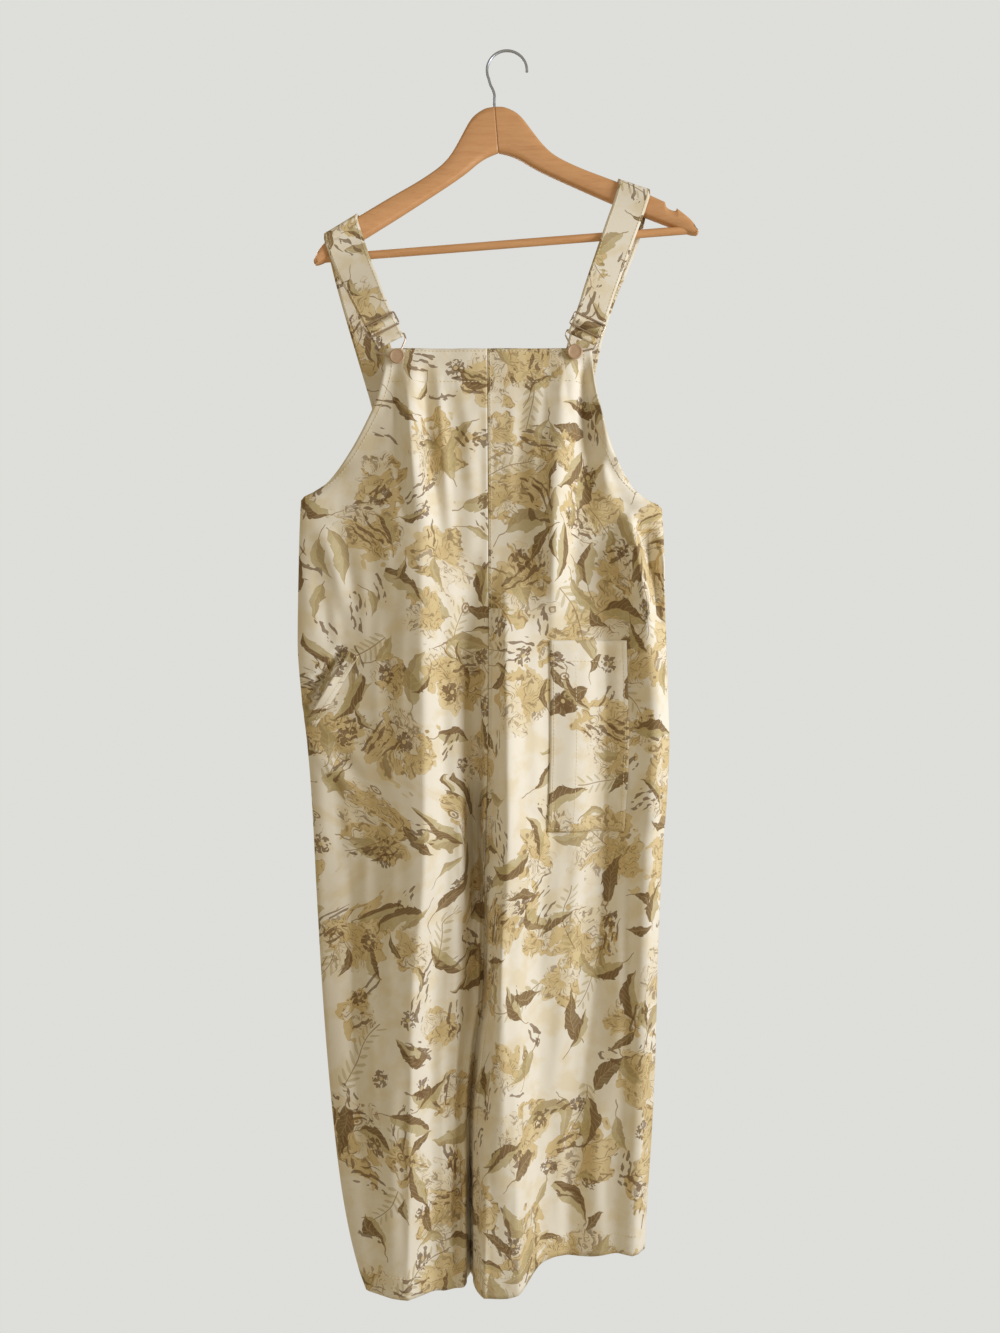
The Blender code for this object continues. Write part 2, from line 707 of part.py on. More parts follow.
def arm_section(top, bottom):
    """Rounded section of an arm as rows of y, up."""
    half = ARM_THICK / 2
    r = ARM_ROUND
    inner = half - r
    ring = []
    for cy, cz, start in ((inner, top - r, 0), (-inner, top - r, 90),
                          (-inner, bottom + r, 180), (inner, bottom + r, 270)):
        for turn in (0, 45, 90):
            a = math.radians(start + turn)
            ring.append((cy + r * math.cos(a), cz + r * math.sin(a)))
    return ring


def add_arm(group, cutters, side):
    name = "hanger_arm_left" if side == LEFT else "hanger_arm_right"
    verts = []
    for along, top, bottom in ARM_OUTLINE:
        for y, up in arm_section(top, bottom):
            spot = hanger_point(side * along, up, arm_depth(along) + y)
            verts.append(tuple(spot * MM))
    count = 12
    faces = [tuple(range(count)), tuple(range(len(verts) - count, len(verts)))]
    for row in range(len(ARM_OUTLINE) - 1):
        a = row * count
        for i in range(count):
            n = (i + 1) % count
            faces.append((a + i, a + n, a + count + n, a + count + i))
    mesh = bpy.data.meshes.new(name)
    mesh.from_pydata(verts, [], faces)
    work = bmesh.new()
    work.from_mesh(mesh)
    bmesh.ops.recalc_face_normals(work, faces=work.faces)
    work.to_mesh(mesh)
    work.free()
    arm = bpy.data.objects.new(name, mesh)
    group.objects.link(arm)
    add_material(arm, "wood", 0.0, 0.35)
    bar_y = arm_depth(BAR_HALF)
    ends = [hanger_point(side * 150.0, BAR_UP, bar_y),
            hanger_point(side * (BAR_HALF + FIT_GAP), BAR_UP, bar_y)]
    hole = to_mesh(tube(cutters, name + "_bar_hole", ends, BAR_RADIUS + FIT_GAP,
                        False, None, 0.0, 3))
    cut_or_join(arm, hole, "DIFFERENCE")
    ends = [hanger_point(0, STEM_UP - STEM_DEPTH, 0), hanger_point(0, STEM_UP + 6, 0)]
    bore = to_mesh(tube(cutters, name + "_stem_hole", ends, WIRE_RADIUS + FIT_GAP,
                        False, None, 0.0, 2))
    cut_or_join(arm, bore, "DIFFERENCE")


def add_bar(group):
    bar_y = arm_depth(BAR_HALF)
    ends = [hanger_point(-BAR_HALF, BAR_UP, bar_y), hanger_point(BAR_HALF, BAR_UP, bar_y)]
    tube(group, "hanger_bar", ends, BAR_RADIUS, False, "wood", 0.0, 3)


def add_hook(group):
    line = arc(HOOK_CENTRE, HOOK_RADIUS, 0, 205, 20)
    line += [(-11.4, -37.0), (-8.2, -43.5), (-6.6, -50.0)]
    points = [(x, 0.0, z) for x, z in line]
    points.append(tuple(hanger_point(0, STEM_UP + 4, 0)))
    points.append(tuple(hanger_point(0, STEM_UP - STEM_DEPTH + FIT_GAP, 0)))
    tube(group, "hanger_hook", points, WIRE_RADIUS, False, "steel", 1.0, 2)


def main():
    for old in list(bpy.data.objects):
        bpy.data.objects.remove(old)
    group = new_collection("overalls_on_hanger")
    cutters = new_collection("cutters")
    for side in (LEFT, RIGHT):
        add_arm(group, cutters, side)
        add_strap(group, side)
        add_slider(group, cutters, side)
        add_clip(group, side)
        add_button(group, side)
    add_bar(group)
    add_hook(group)
    add_body(group)
    add_patch_pocket(group)
    add_pocket_mouth(group)
    for tool in cutters.objects:
        tool.hide_render = True
        tool.display_type = "WIRE"


main()
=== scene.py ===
"""Bib overalls in printed cotton twill on a wooden hanger, built as add-on operators.

Lengths in the tables are millimetres, in the same frame as the solids: X to
the viewer's right, the front faces -Y, Z up, the origin inside the hook.
"""

import math
from functools import partial

import bmesh
import bpy
from bpy.props import FloatProperty, FloatVectorProperty, IntProperty, PointerProperty
from mathutils import Matrix, Vector, noise


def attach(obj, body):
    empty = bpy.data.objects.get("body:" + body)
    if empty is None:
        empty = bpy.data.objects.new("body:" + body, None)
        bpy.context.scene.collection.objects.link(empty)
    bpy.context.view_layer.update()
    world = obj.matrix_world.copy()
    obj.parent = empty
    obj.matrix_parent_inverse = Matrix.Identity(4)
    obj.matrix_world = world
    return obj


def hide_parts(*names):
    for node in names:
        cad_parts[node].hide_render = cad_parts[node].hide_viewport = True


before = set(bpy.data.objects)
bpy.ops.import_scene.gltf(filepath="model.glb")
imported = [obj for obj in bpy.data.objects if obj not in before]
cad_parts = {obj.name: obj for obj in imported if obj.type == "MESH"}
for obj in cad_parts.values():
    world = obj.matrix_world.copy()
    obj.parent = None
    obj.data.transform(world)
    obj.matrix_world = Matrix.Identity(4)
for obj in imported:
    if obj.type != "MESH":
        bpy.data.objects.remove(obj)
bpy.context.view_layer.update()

bl_info = {
    "name": "Overalls on a Hanger",
    "version": (1, 0, 0),
    "blender": (4, 5, 0),
    "location": "3D View > Sidebar > Overalls",
    "description": "Dresses the packed overalls in printed twill and lights them",
    "category": "Add Mesh",
}

MM = 0.001
LEFT = -1.0
RIGHT = 1.0
BODY = "root"


def linear(code):
    """Linear colour, with full alpha, of an sRGB hex code."""
    parts = [int(code[i:i + 2], 16) / 255 for i in (1, 3, 5)]
    return tuple([c / 12.92 if c <= 0.04045 else ((c + 0.055) / 1.055) ** 2.4 for c in parts] + [1.0])


# Body form, as in the solids.

SEAM_HALF_GAP = 0.15
BIB_TOP = -356.6
BACK_TOP = -382.0
UNDERARM = {LEFT: -529.0, RIGHT: -538.0}
CROTCH = -963.0
HEM = -1438.0

# Centre seam, then the line between the legs: height, x.
CENTRE_LINE = [
    (-356, -14.9), (-531, -13.8), (-692, -12.9), (-859, -15.0), (-963, -18.0),
    (-1039, -18.5), (-1111, -20.5), (-1161, -28.0), (-1259, -35.5), (-1440, -35.0),
]

# Armhole edge, then the side seam: height, x.
OUTER_LINE = {
    LEFT: [
        (-356, -132.0), (-376, -133.0), (-411, -140.5), (-451, -158.0),
        (-485, -178.4), (-508, -198.0), (-521, -215.0), (-529, -229.0),
        (-599, -231.6), (-692, -232.8), (-761, -228.0), (-808, -222.3),
        (-877, -216.6), (-993, -210.8), (-1109, -204.0), (-1225, -194.7),
        (-1318, -184.0), (-1376, -173.5), (-1417, -162.5), (-1440, -154.0),
    ],
    RIGHT: [
        (-356, 105.7), (-376, 106.2), (-428, 114.9), (-474, 130.0),
        (-505, 146.0), (-522, 161.0), (-532, 174.0), (-538, 186.5),
        (-599, 189.4), (-692, 191.7), (-761, 194.1), (-808, 195.5),
        (-878, 192.7), (-936, 188.5), (-1053, 183.6), (-1171, 181.3),
        (-1290, 177.1), (-1350, 174.0), (-1411, 171.0), (-1440, 170.0),
    ],
}

# Resting depth of the cloth before its folds: height, y.
FRONT_REST = {
    LEFT: [(-356, -37), (-470, -38), (-560, -42), (-700, -44), (-930, -40),
           (-1100, -37), (-1260, -34), (-1440, -32)],
    RIGHT: [(-356, -37), (-470, -38), (-560, -42), (-700, -44), (-930, -36),
            (-1100, -28), (-1260, -20), (-1440, -12)],
}
BACK_REST = {
    LEFT: [(-356, 3), (-420, 4), (-470, 6), (-560, 14), (-700, 23), (-930, 25),
           (-1100, 25), (-1440, 22)],
    RIGHT: [(-356, 3), (-420, 4), (-470, 6), (-560, 14), (-700, 23), (-930, 26),
            (-1100, 28), (-1440, 32)],
}
SIDE_DEPTH = {
    LEFT: [(-356, -26), (-529, -25), (-900, -24), (-1440, -21)],
    RIGHT: [(-356, -22), (-538, -20), (-800, -18), (-1053, -10), (-1230, -3),
            (-1440, 3)],
}
INSEAM_DEPTH = [(-356, -26), (-963, -26), (-1200, -16), (-1440, -6)]

# Folds: name, half width of the level crest, half widths of the slopes towards
# -x and +x, then rows of height, x, rise.
FRONT_FOLDS = {
    LEFT: [
        ("long ridge", 0, 95, 42, [
            (-382, -112, 0), (-398, -110, 2), (-470, -99, 12), (-557, -90, 22),
            (-693, -87, 30), (-928, -84, 34), (-1095, -98, 35), (-1263, -101, 34),
            (-1440, -104, 30)]),
        ("outer crease", 0, 18, 22, [
            (-900, -178, 0), (-1010, -170, -5), (-1180, -163, -9),
            (-1320, -150, -6), (-1440, -140, -3)]),
        ("inner ripple", 0, 15, 15, [
            (-960, -54, 0), (-1060, -58, 5), (-1200, -66, 8), (-1440, -64, 6)]),
    ],
    RIGHT: [
        ("bib ridge", 0, 36, 30, [
            (-385, 54, 0), (-418, 55, 6), (-560, 58, 16), (-640, 60, 12),
            (-692, 60, 6), (-770, 62, 0)]),
        ("bib crease", 0, 16, 17, [
            (-366, 93, 0), (-392, 93, -6), (-500, 96, -7), (-580, 100, 0)]),
        ("inner ridge", 0, 30, 56, [
            (-600, 6, 0), (-692, 6, 22), (-800, 8, 32), (-928, 9, 36),
            (-1095, 4, 36), (-1200, 4, 24), (-1300, 6, 8), (-1380, 8, 0)]),
        ("hem roll", 20, 24, 28, [
            (-1050, 2, 0), (-1150, 0, 14), (-1250, -2, 32), (-1340, 0, 44),
            (-1440, 2, 46)]),
        ("long valley", 0, 40, 38, [
            (-530, 114, 0), (-610, 117, -8), (-761, 122, -14), (-934, 122, -19),
            (-1107, 110, -18), (-1230, 94, -15), (-1340, 84, -13),
            (-1440, 80, -12)]),
        ("side ridge", 0, 24, 15, [
            (-540, 146, 0), (-600, 156, 14), (-646, 163, 16), (-703, 172, 15),
            (-783, 178, 15), (-933, 172, 14), (-1103, 165, 14),
            (-1272, 160, 15), (-1440, 156, 15)]),
    ],
}
BACK_FOLDS = {
    LEFT: [
        ("outer ridge", 0, 40, 34, [
            (-470, -150, 0), (-600, -165, 7), (-860, -168, 12), (-1200, -150, 10),
            (-1440, -132, 8)]),
        ("middle ridge", 0, 30, 38, [
            (-420, -88, 0), (-560, -92, 6), (-820, -96, 10), (-1120, -100, 13),
            (-1440, -92, 11)]),
        ("seat fold", 0, 26, 22, [
            (-640, -44, 0), (-760, -46, 6), (-940, -52, 9), (-1200, -58, 5),
            (-1440, -60, 3)]),
    ],
    RIGHT: [
        ("outer ridge", 0, 36, 30, [
            (-480, 128, 0), (-620, 140, 8), (-900, 144, 10), (-1240, 134, 12),
            (-1440, 128, 9)]),
        ("middle ridge", 0, 34, 28, [
            (-430, 60, 0), (-580, 66, 5), (-840, 72, 11), (-1160, 64, 9),
            (-1440, 56, 12)]),
        ("seat fold", 0, 20, 26, [
            (-650, 20, 0), (-780, 22, 5), (-960, 24, 8), (-1220, 18, 6),
            (-1440, 12, 4)]),
    ],
}

# Small creases pressed into the cloth: x and height of both ends, width, rise
# towards the viewer (a valley where it is negative).
FRONT_CREASES = [
    (-118, -372, -104, -452, 5, -1.6), (-122, -374, -134, -440, 6, -1.8),
    (-60, -400, -48, -520, 9, -2.2), (-36, -420, -34, -600, 8, 1.8),
    (86, -368, 78, -430, 5, -1.8), (92, -372, 104, -436, 5, 2.0),
    (30, -410, 28, -560, 9, -2.4), (118, -470, 150, -552, 8, -4.0),
    (146, -545, 178, -690, 8, 10.0), (164, -560, 184, -676, 9, -20.0),
    (-33, -590, -31, -1330, 14, -22.0), (-29, -850, -24, -1020, 8, -30.0),
    (76, -368, 62, -650, 13, 11.0), (96, -362, 106, -540, 9, -13.0),
    (104, -380, 150, -540, 6, 4.0), (-104, -372, -90, -560, 10, 10.0), (-86, -372, -66, -600, 8, -8.0),
    (-118, -400, -106, -560, 6, -4.0), (-177, -700, -227, -781, 4.0, -15.0),
    (-8, -985, -11, -1115, 5, -12.0), (-11, -1105, -26, -1260, 5, -12.0),
    (-26, -1250, -26, -1430, 5, -12.0), (-28, -985, -31, -1120, 5, -9.0),
    (-31, -1105, -45, -1262, 5, -9.0), (-45, -1250, -45, -1425, 5, -9.0),
    (150, -690, 158, -820, 9, -2.6),
    (-206, -560, -176, -665, 9, 5.0), (-216, -600, -196, -700, 7, -3.0),
    (-150, -560, -140, -700, 10, -2.5), (-120, -620, -122, -840, 9, -2.5),
    (-64, -640, -60, -880, 8, -2.4), (-44, -720, -42, -960, 7, 2.2),
    (24, -700, 27, -930, 9, -2.6), (40, -940, 30, -1130, 10, -3.0),
    (66, -920, 58, -1120, 9, 2.6), (96, -960, 84, -1140, 9, -3.0),
    (138, -920, 134, -1180, 10, 3.0), (150, -1000, 148, -1300, 8, -2.6),
    (-130, -880, -140, -1120, 10, -2.8), (-72, -980, -82, -1240, 8, -2.4),
    (-120, -1160, -122, -1400, 9, 2.6), (-46, -1160, -50, -1400, 7, -2.0),
    (60, -1220, 52, -1400, 9, -3.2), (112, -1240, 110, -1410, 9, 2.6),
    (-20, -1180, -16, -1420, 6, -2.0), (-196, -840, -186, -960, 8, -2.6),
    (-212, -790, -160, -850, 10, -3.0), (-204, -820, -150, -900, 9, 2.0),
    (20, -880, 70, -930, 8, -2.0), (140, -860, 176, -930, 9, -2.6),
]
BACK_CREASES = [
    (-112, -420, -100, -560, 9, 2.0), (-70, -440, -64, -640, 8, -2.0),
    (-130, -600, -138, -820, 10, -2.6), (-66, -700, -72, -900, 8, 2.4),
    (-30, -820, -80, -930, 9, -2.6), (-150, -900, -140, -1160, 9, 2.4),
    (-108, -1040, -112, -1300, 10, -2.8), (-60, -1120, -64, -1400, 8, 2.0),
    (30, -430, 34, -600, 9, -2.0), (92, -450, 98, -640, 8, 2.2),
    (110, -640, 118, -880, 10, -2.8), (40, -720, 46, -900, 8, 2.2),
    (10, -830, 60, -940, 9, -2.6), (90, -960, 84, -1200, 9, 2.6),
    (130, -1000, 128, -1280, 8, -2.6), (34, -1080, 28, -1380, 9, 2.4),
    (100, -1260, 98, -1410, 8, -2.2), (-140, -1240, -132, -1410, 8, -2.0),
]

# How far a fold's crest is sharpened, 0 to 1.
SHARP = 0.55
# How far the cloth goes the other way beside a crease, as a share of its rise.
CREASE_BANK = 0.35
# How far a crease is bowed off its straight line.
CREASE_BOW = 5.0

# Shares of a panel's width: the part that turns in to a seam, and its first strip.
# Then the radii of the turns at the side seam and at the middle.
ROUND_SHARE = 0.12
FIRST_STRIP = 0.04
OUTER_ROUND = 30.0
INNER_ROUND = 18.0
# Height above the crotch at which the middle has gone flat.
SEAT_RISE = 270.0
# How much deeper the cloth folds in between the legs than the plain solids do.
INSEAM_SINK = 20.0
# How much higher the outer end of the right hem hangs than the plain solids' one.
OUTER_HEM_LIFT = 10.0
# Radius at which the legs turn in to the inseam, and how far each front stands off it.
LEG_ROUND = 10.0
LEG_GAP = 6.0
# How far the sewn inseam is drawn together, so that no light comes through it.
SEAM_DRAW = 0.35
BACK_ARMHOLE_INSET = 5.0
HEM_LIFT = {LEFT: 0.0, RIGHT: 24.0}
HEM_LIFT_START = -1150.0
BIB_HEM = 38.0
BACK_HEM = 26.0
LEG_HEM = 24.0

# Patch pocket: shares of the panel's width, heights. Hip pocket: ends of its mouth, x and height.
POCKET_ACROSS = (0.37, 0.80)
POCKET_HEIGHT = (-692.0, -912.0)
MOUTH_TOP = (-172.0, -704.0)
MOUTH_END = (-221.5, -784.0)
MOUTH_RUN = Vector((MOUTH_END[0] - MOUTH_TOP[0], 0, MOUTH_END[1] - MOUTH_TOP[1]))
MOUTH_AWAY = Vector((-MOUTH_RUN.z, 0, MOUTH_RUN.x)).normalized()
MOUTH_WIDTH = 13.0
# How far the mouth of the hip pocket stands open.
MOUTH_GAPE = 6.5
# Thickness of the pockets' cloth, and where the print starts on them, in metres.
POCKET_CLOTH = 0.0012
PATCH_PRINT = (1.31, 0.03)
MOUTH_PRINT = (0.47, 0.36)

# Hanger, as in the solids.
HANGER_X = 7.0
HANGER_Z = -235.0
HANGER_TILT = math.radians(4.5)
HANGER_HALF = 221.5
ARM_FORWARD = 20.0

# Arm outline: distance from the middle, top, bottom.
ARM_OUTLINE = [
    (0.15, 171.8, 118.4), (8.0, 171.2, 116.0), (12.0, 170.3, 114.6),
    (20.0, 166.4, 110.9), (28.0, 160.7, 105.7), (35.0, 150.5, 100.2),
    (42.0, 139.5, 95.6), (57.0, 115.7, 86.4), (72.0, 104.2, 77.8),
    (86.0, 95.5, 69.9), (105.0, 85.0, 58.9), (125.0, 75.4, 47.5),
    (146.0, 64.0, 35.8), (157.0, 58.0, 29.4), (169.0, 51.5, 23.0),
    (180.0, 44.6, 17.0), (188.4, 39.4, 12.5), (189.0, 35.4, 12.2),
    (190.4, 32.4, 11.4), (193.0, 30.2, 10.0), (196.0, 28.4, 8.3),
    (199.0, 27.4, 6.6), (200.8, 28.0, 5.5), (201.6, 30.2, 5.0),
    (207.0, 24.8, 2.0), (214.0, 17.6, -1.4), (218.5, 11.6, -2.9),
    (221.5, 5.6, -3.4),
]
NOTCH = (188.4, 201.6)
ARM_ROUND = 4.4
BAR_HALF = 213.0
BAR_UP = 4.0
# Hook: the bend's middle, radius, first angle and sweep, then the neck down to the stem.
HOOK_CENTRE = (8.1, -20.3)
HOOK_RADIUS = 23.5
HOOK_START = -4
HOOK_SWEEP = 209
HOOK_NECK = [(-11.4, 0.0, -37.0), (-8.2, 0.0, -43.5), (-6.6, 0.0, -50.0)]
STEM_UP = 171.8
STEM_SUNK = 21.7

# Where each slider and button is, and how far the clip bar is above the button.
FITTINGS = {
    LEFT: {"slider": (-135.6, -331.6), "button": (-117.7, -366.8), "bar": 21.0},
    RIGHT: {"slider": (100.2, -331.1), "button": (85.7, -361.8), "bar": 20.0},
}
SLIDER_PITCH = 7.5
SLIDER_HALF = 19.2
SLIDER_ROUND = 2.2
SLIDER_STANDS = 2.7
# How high the strap rides over the slider's middle bar.
STRAP_HUMP = 5.2
STRAP_FRONT_Y = -42.0
CLIP_Y = -40.0
BIB_Y = -37.0
LOOP_RADIUS = 2.1
# Half of a button's outline: distance from its middle, distance off the bib.
BUTTON_PROFILE = [
    (0, 0.35), (4.4, 0.35), (4.4, 1.2), (2.1, 1.5), (2.1, 5.1), (8.0, 5.3), (8.75, 6.0),
    (8.7, 6.9), (8.1, 7.7), (7.4, 7.85), (6.9, 7.6), (6.2, 7.25), (3.0, 7.5), (0, 7.6),
]

# Strap over the hanger: x, y, height, half width, slope of the width line in
# degrees, lean of the width line in y.
STRAP_ROWS = {
    LEFT: [
        (-128.0, 6.1, -428, 19.8, 15, 0.0),
        (-134.5, 6.2, -402, 20.0, 15, 0.0), (-139.5, 5.8, -384, 20.3, 15, 0.0),
        (-150.0, 3.6, -346, 21.0, 16, 0.0), (-161.5, 1.0, -304, 21.8, 18, 0.02),
        (-172.0, -1.8, -264, 22.6, 24, 0.06), (-179.0, -4.6, -236, 23.0, 31, 0.14),
        (-184.2, -5.8, -217.0, 23.2, 34, 0.154), (-184.5, -6.6, -210.4, 23.2, 34.4, 0.154),
        (-184.5, -10.4, -207.4, 23.2, 34.4, 0.154), (-184.5, -14.6, -206.9, 23.2, 34.4, 0.154),
        (-184.5, -18.8, -207.4, 23.2, 34.4, 0.154), (-184.5, -22.6, -210.4, 23.2, 34.4, 0.154),
        (-184.0, -23.6, -217.0, 23.1, 34, 0.154), (-177.0, -24.2, -238, 22.4, 30, 0.10),
        (-168.0, -29.5, -262, 21.2, 26, 0.04), (-158.0, -35.8, -284, 19.8, 24, 0.0),
        (-149.5, -40.4, -303, 18.4, 24.5, 0.0),
    ],
    RIGHT: [
        (84.5, 6.2, -402, 20.0, -15, 0.0), (90.0, 5.8, -384, 19.9, -15, 0.0),
        (101.5, 4.0, -334, 19.7, -15.5, 0.0), (116.0, 2.4, -288, 19.6, -17, 0.0),
        (136.0, 1.2, -240, 19.5, -18, -0.05), (148.0, -0.2, -207, 19.5, -19.5, -0.10),
        (154.0, -1.1, -181.7, 19.5, -21, -0.122), (155.9, -0.9, -169.1, 19.5, -21.6, -0.122),
        (156.0, -1.8, -162.9, 19.5, -21.6, -0.122), (156.0, -5.6, -159.9, 19.5, -21.6, -0.122),
        (156.0, -9.8, -159.4, 19.5, -21.6, -0.122), (156.0, -14.0, -159.9, 19.5, -21.6, -0.122),
        (156.0, -17.9, -162.9, 19.5, -21.6, -0.122), (155.7, -18.7, -169.1, 19.5, -21.6, -0.122),
        (149.5, -19.2, -189, 19.3, -20, -0.10), (141.6, -24.0, -211, 19.0, -18.5, -0.05),
        (132.5, -28.8, -237, 18.7, -17.5, -0.02), (122.8, -34.4, -265, 18.4, -17.5, 0.0),
        (113.6, -39.2, -292, 18.1, -20, 0.0), (109.2, -41.2, -306, 17.9, -22, 0.0),
    ],
}


# Settings a user would change.

def colour_setting(name, description, code):
    return FloatVectorProperty(
        name=name, description=description, size=4, subtype="COLOR", default=linear(code))


def length_setting(name, description, default):
    return FloatProperty(
        name=name, description=description, default=default, unit="LENGTH", subtype="DISTANCE")


class TwillSettings(bpy.types.PropertyGroup):
    """The printed cotton twill and how finely it is laid."""

    across: IntProperty(
        name="Cells across", description="Grid cells across a panel", default=72, min=20)
    down: IntProperty(
        name="Cells down", description="Grid cells from the bib to the hem", default=230, min=40)
    thickness: length_setting("Thickness", "Thickness of the body cloth", 0.0016)
    crease: FloatProperty(
        name="Crease", description="Strength of the small creases", default=1.0, subtype="FACTOR")
    crumple: length_setting("Crumple", "Height of the fine unevenness", 0.0013)
    print_scale: FloatProperty(name="Print scale", description="Size of the print's motifs", default=1.0,
                               subtype="FACTOR")
    ground: colour_setting("Ground", "Unprinted cream cotton", "#EFE8D6")
    petal: colour_setting("Petals", "Ochre wash of the blooms", "#E1CC98")
    petal_deep: colour_setting("Deep petals", "Shaded foot of the petals", "#CDB27A")
    olive: colour_setting("Olive leaves", "Lighter leaf colour", "#BCAB78")
    umber: colour_setting("Dark leaves", "Darkest ink of the print", "#755731")
    stem: colour_setting("Stems", "Drawn stems and outlines", "#97784A")


class FittingSettings(bpy.types.PropertyGroup):
    """Straps, sliders, clips and buttons."""

    strap_thickness: length_setting("Strap thickness", "Thickness of the doubled strap", 0.002)
    wire: length_setting("Wire", "Radius of the slider and clip wire", 0.001)
    wire_colour: colour_setting("Wire colour", "Aged copper-tinted plating", "#C6B4A2")
    button_colour: colour_setting("Button colour", "Matte tan button enamel", "#C4A686")
    thread_colour: colour_setting("Thread", "Cream sewing thread", "#E9DCBB")


class HangerSettings(bpy.types.PropertyGroup):
    """The wooden hanger and its hook."""

    arm_thickness: length_setting("Arm thickness", "Front to back size of an arm", 0.013)
    bar_radius: length_setting("Bar radius", "Radius of the wooden bar", 0.00475)
    wire: length_setting("Hook wire", "Radius of the hook's wire", 0.00165)
    wood: colour_setting("Wood", "Lacquered wood between its grain lines", "#DEA974")
    grain: colour_setting("Grain", "Darker growth lines", "#C88F5C")


class StageSettings(bpy.types.PropertyGroup):
    """Camera, light and floor."""

    distance: length_setting("Camera distance", "From the hook's plane to the camera", 1.5)
    height: length_setting("Camera height", "Height of the level camera", -0.7219)
    key: FloatProperty(
        name="Key light", description="Power of the large light on the right", default=42.0,
        unit="POWER")
    fill: FloatProperty(name="Fill light", description="Power of the soft light in front", default=4.0,
                        unit="POWER")
    warm: colour_setting("Room colour", "Warm tone that the room sends into the folds", "#EEDCB8")
    room: FloatProperty(
        name="Room light", description="Strength of the light from the pale surroundings",
        default=0.44, subtype="FACTOR")
    pale: colour_setting("Surroundings", "Pale surroundings and floor", "#DEDEDA")


# Form of the body.

def read_line(rows, height, column=1):
    """Value of a table at a height, joined smoothly between its rows."""
    if height >= rows[0][0]:
        return rows[0][column]
    if height <= rows[-1][0]:
        return rows[-1][column]
    at = 0
    while rows[at + 1][0] > height:
        at += 1
    z0, v0 = rows[at][0], rows[at][column]
    z1, v1 = rows[at + 1][0], rows[at + 1][column]
    span = z1 - z0
    slope = (v1 - v0) / span
    before = slope
    after = slope
    if at > 0:
        before = (v0 - rows[at - 1][column]) / (z0 - rows[at - 1][0])
    if at + 2 < len(rows):
        after = (rows[at + 2][column] - v1) / (rows[at + 2][0] - z1)
    m0 = 0.0 if before * slope <= 0 else 2 * before * slope / (before + slope)
    m1 = 0.0 if after * slope <= 0 else 2 * after * slope / (after + slope)
    t = (height - z0) / span
    return (v0 * (1 + 2 * t) * (1 - t) ** 2 + m0 * span * t * (1 - t) ** 2
            + v1 * t * t * (3 - 2 * t) + m1 * span * t * t * (t - 1))


def ramp(value, start, end):
    t = min(1.0, max(0.0, (value - start) / (end - start)))
    return t * t * (3 - 2 * t)


def centre_share(height):
    """1 where the halves lie flat across the centre seam, 0 on the legs."""
    rise = min(1.0, max(0.0, (height - CROTCH) / SEAT_RISE))
    return math.sqrt(1 - (1 - rise) ** 2)


def side_share(side, height):
    """0 along the open armhole, 1 where the side seam closes the body."""
    return ramp(height, UNDERARM[side] + 52, UNDERARM[side] + 5)


def strip_angle(share):
    angle = share * math.pi / 2
    start = FIRST_STRIP / ROUND_SHARE * math.pi / 2
    held = max(0.0, (angle - start) / (math.pi / 2 - start)) * math.pi / 2
    return angle, held


def row_form(side, front, height):
    """What the points of a panel share at one height."""
    closed = side_share(side, height)
    facing = -1.0 if front else 1.0
    parted = ramp(height, CROTCH + 10, CROTCH - 60)
    sink = INSEAM_SINK * parted
    inset = 0.0 if front else BACK_ARMHOLE_INSET * (1 - closed)
    folds = []
    for _name, crest, minus, plus, rows in (FRONT_FOLDS if front else BACK_FOLDS)[side]:
        rise = read_line(rows, height, 2)
        if abs(rise) > 0.01:
            folds.append((crest, minus, plus, read_line(rows, height, 1), rise))
    return {
        "side": side, "front": front, "height": height, "closed": closed, "facing": facing,
        "flat": centre_share(height), "folds": folds,
        "x_in": read_line(CENTRE_LINE, height) + side * (SEAM_HALF_GAP - SEAM_DRAW * parted),
        "x_out": read_line(OUTER_LINE[side], height) - side * inset,
        "level": read_line((FRONT_REST if front else BACK_REST)[side], height),
        "seam": read_line(INSEAM_DEPTH, height) + facing * SEAM_HALF_GAP + sink,
        "y_side": read_line(SIDE_DEPTH[side], height) + facing * SEAM_HALF_GAP,
        "lift": HEM_LIFT[side] * ramp(height, HEM_LIFT_START, HEM),
        "end_lift": (OUTER_HEM_LIFT if side == RIGHT else 0.0) * ramp(height, HEM_LIFT_START, HEM),
        "turn_in": INNER_ROUND + (LEG_ROUND - INNER_ROUND) * parted,
        "gap": LEG_GAP * parted if front else 0.0,
    }


def crease_rise(front, x, height):
    total = 0.0
    for x0, z0, x1, z1, width, rise in (FRONT_CREASES if front else BACK_CREASES):
        if height > z0 + 30 or height < z1 - 30:
            continue
        run_x, run_z = x1 - x0, z1 - z0
        along = ((x - x0) * run_x + (height - z0) * run_z) / (run_x ** 2 + run_z ** 2)
        if along < 0 or along > 1:
            continue
        bow = CREASE_BOW * math.sin(math.pi * along) * math.sin(x0 * 1.7 + z0)
        off = ((x - x0) * run_z - (height - z0) * run_x) / math.hypot(run_x, run_z) + bow
        near = off / width
        if abs(near) < 2.6:
            fade = math.sin(math.pi * along) ** 0.7
            banks = CREASE_BANK * math.exp(-((abs(near) - 1.6) * 1.6) ** 2)
            total += rise * fade * (math.exp(-near * near) - banks)
    return total


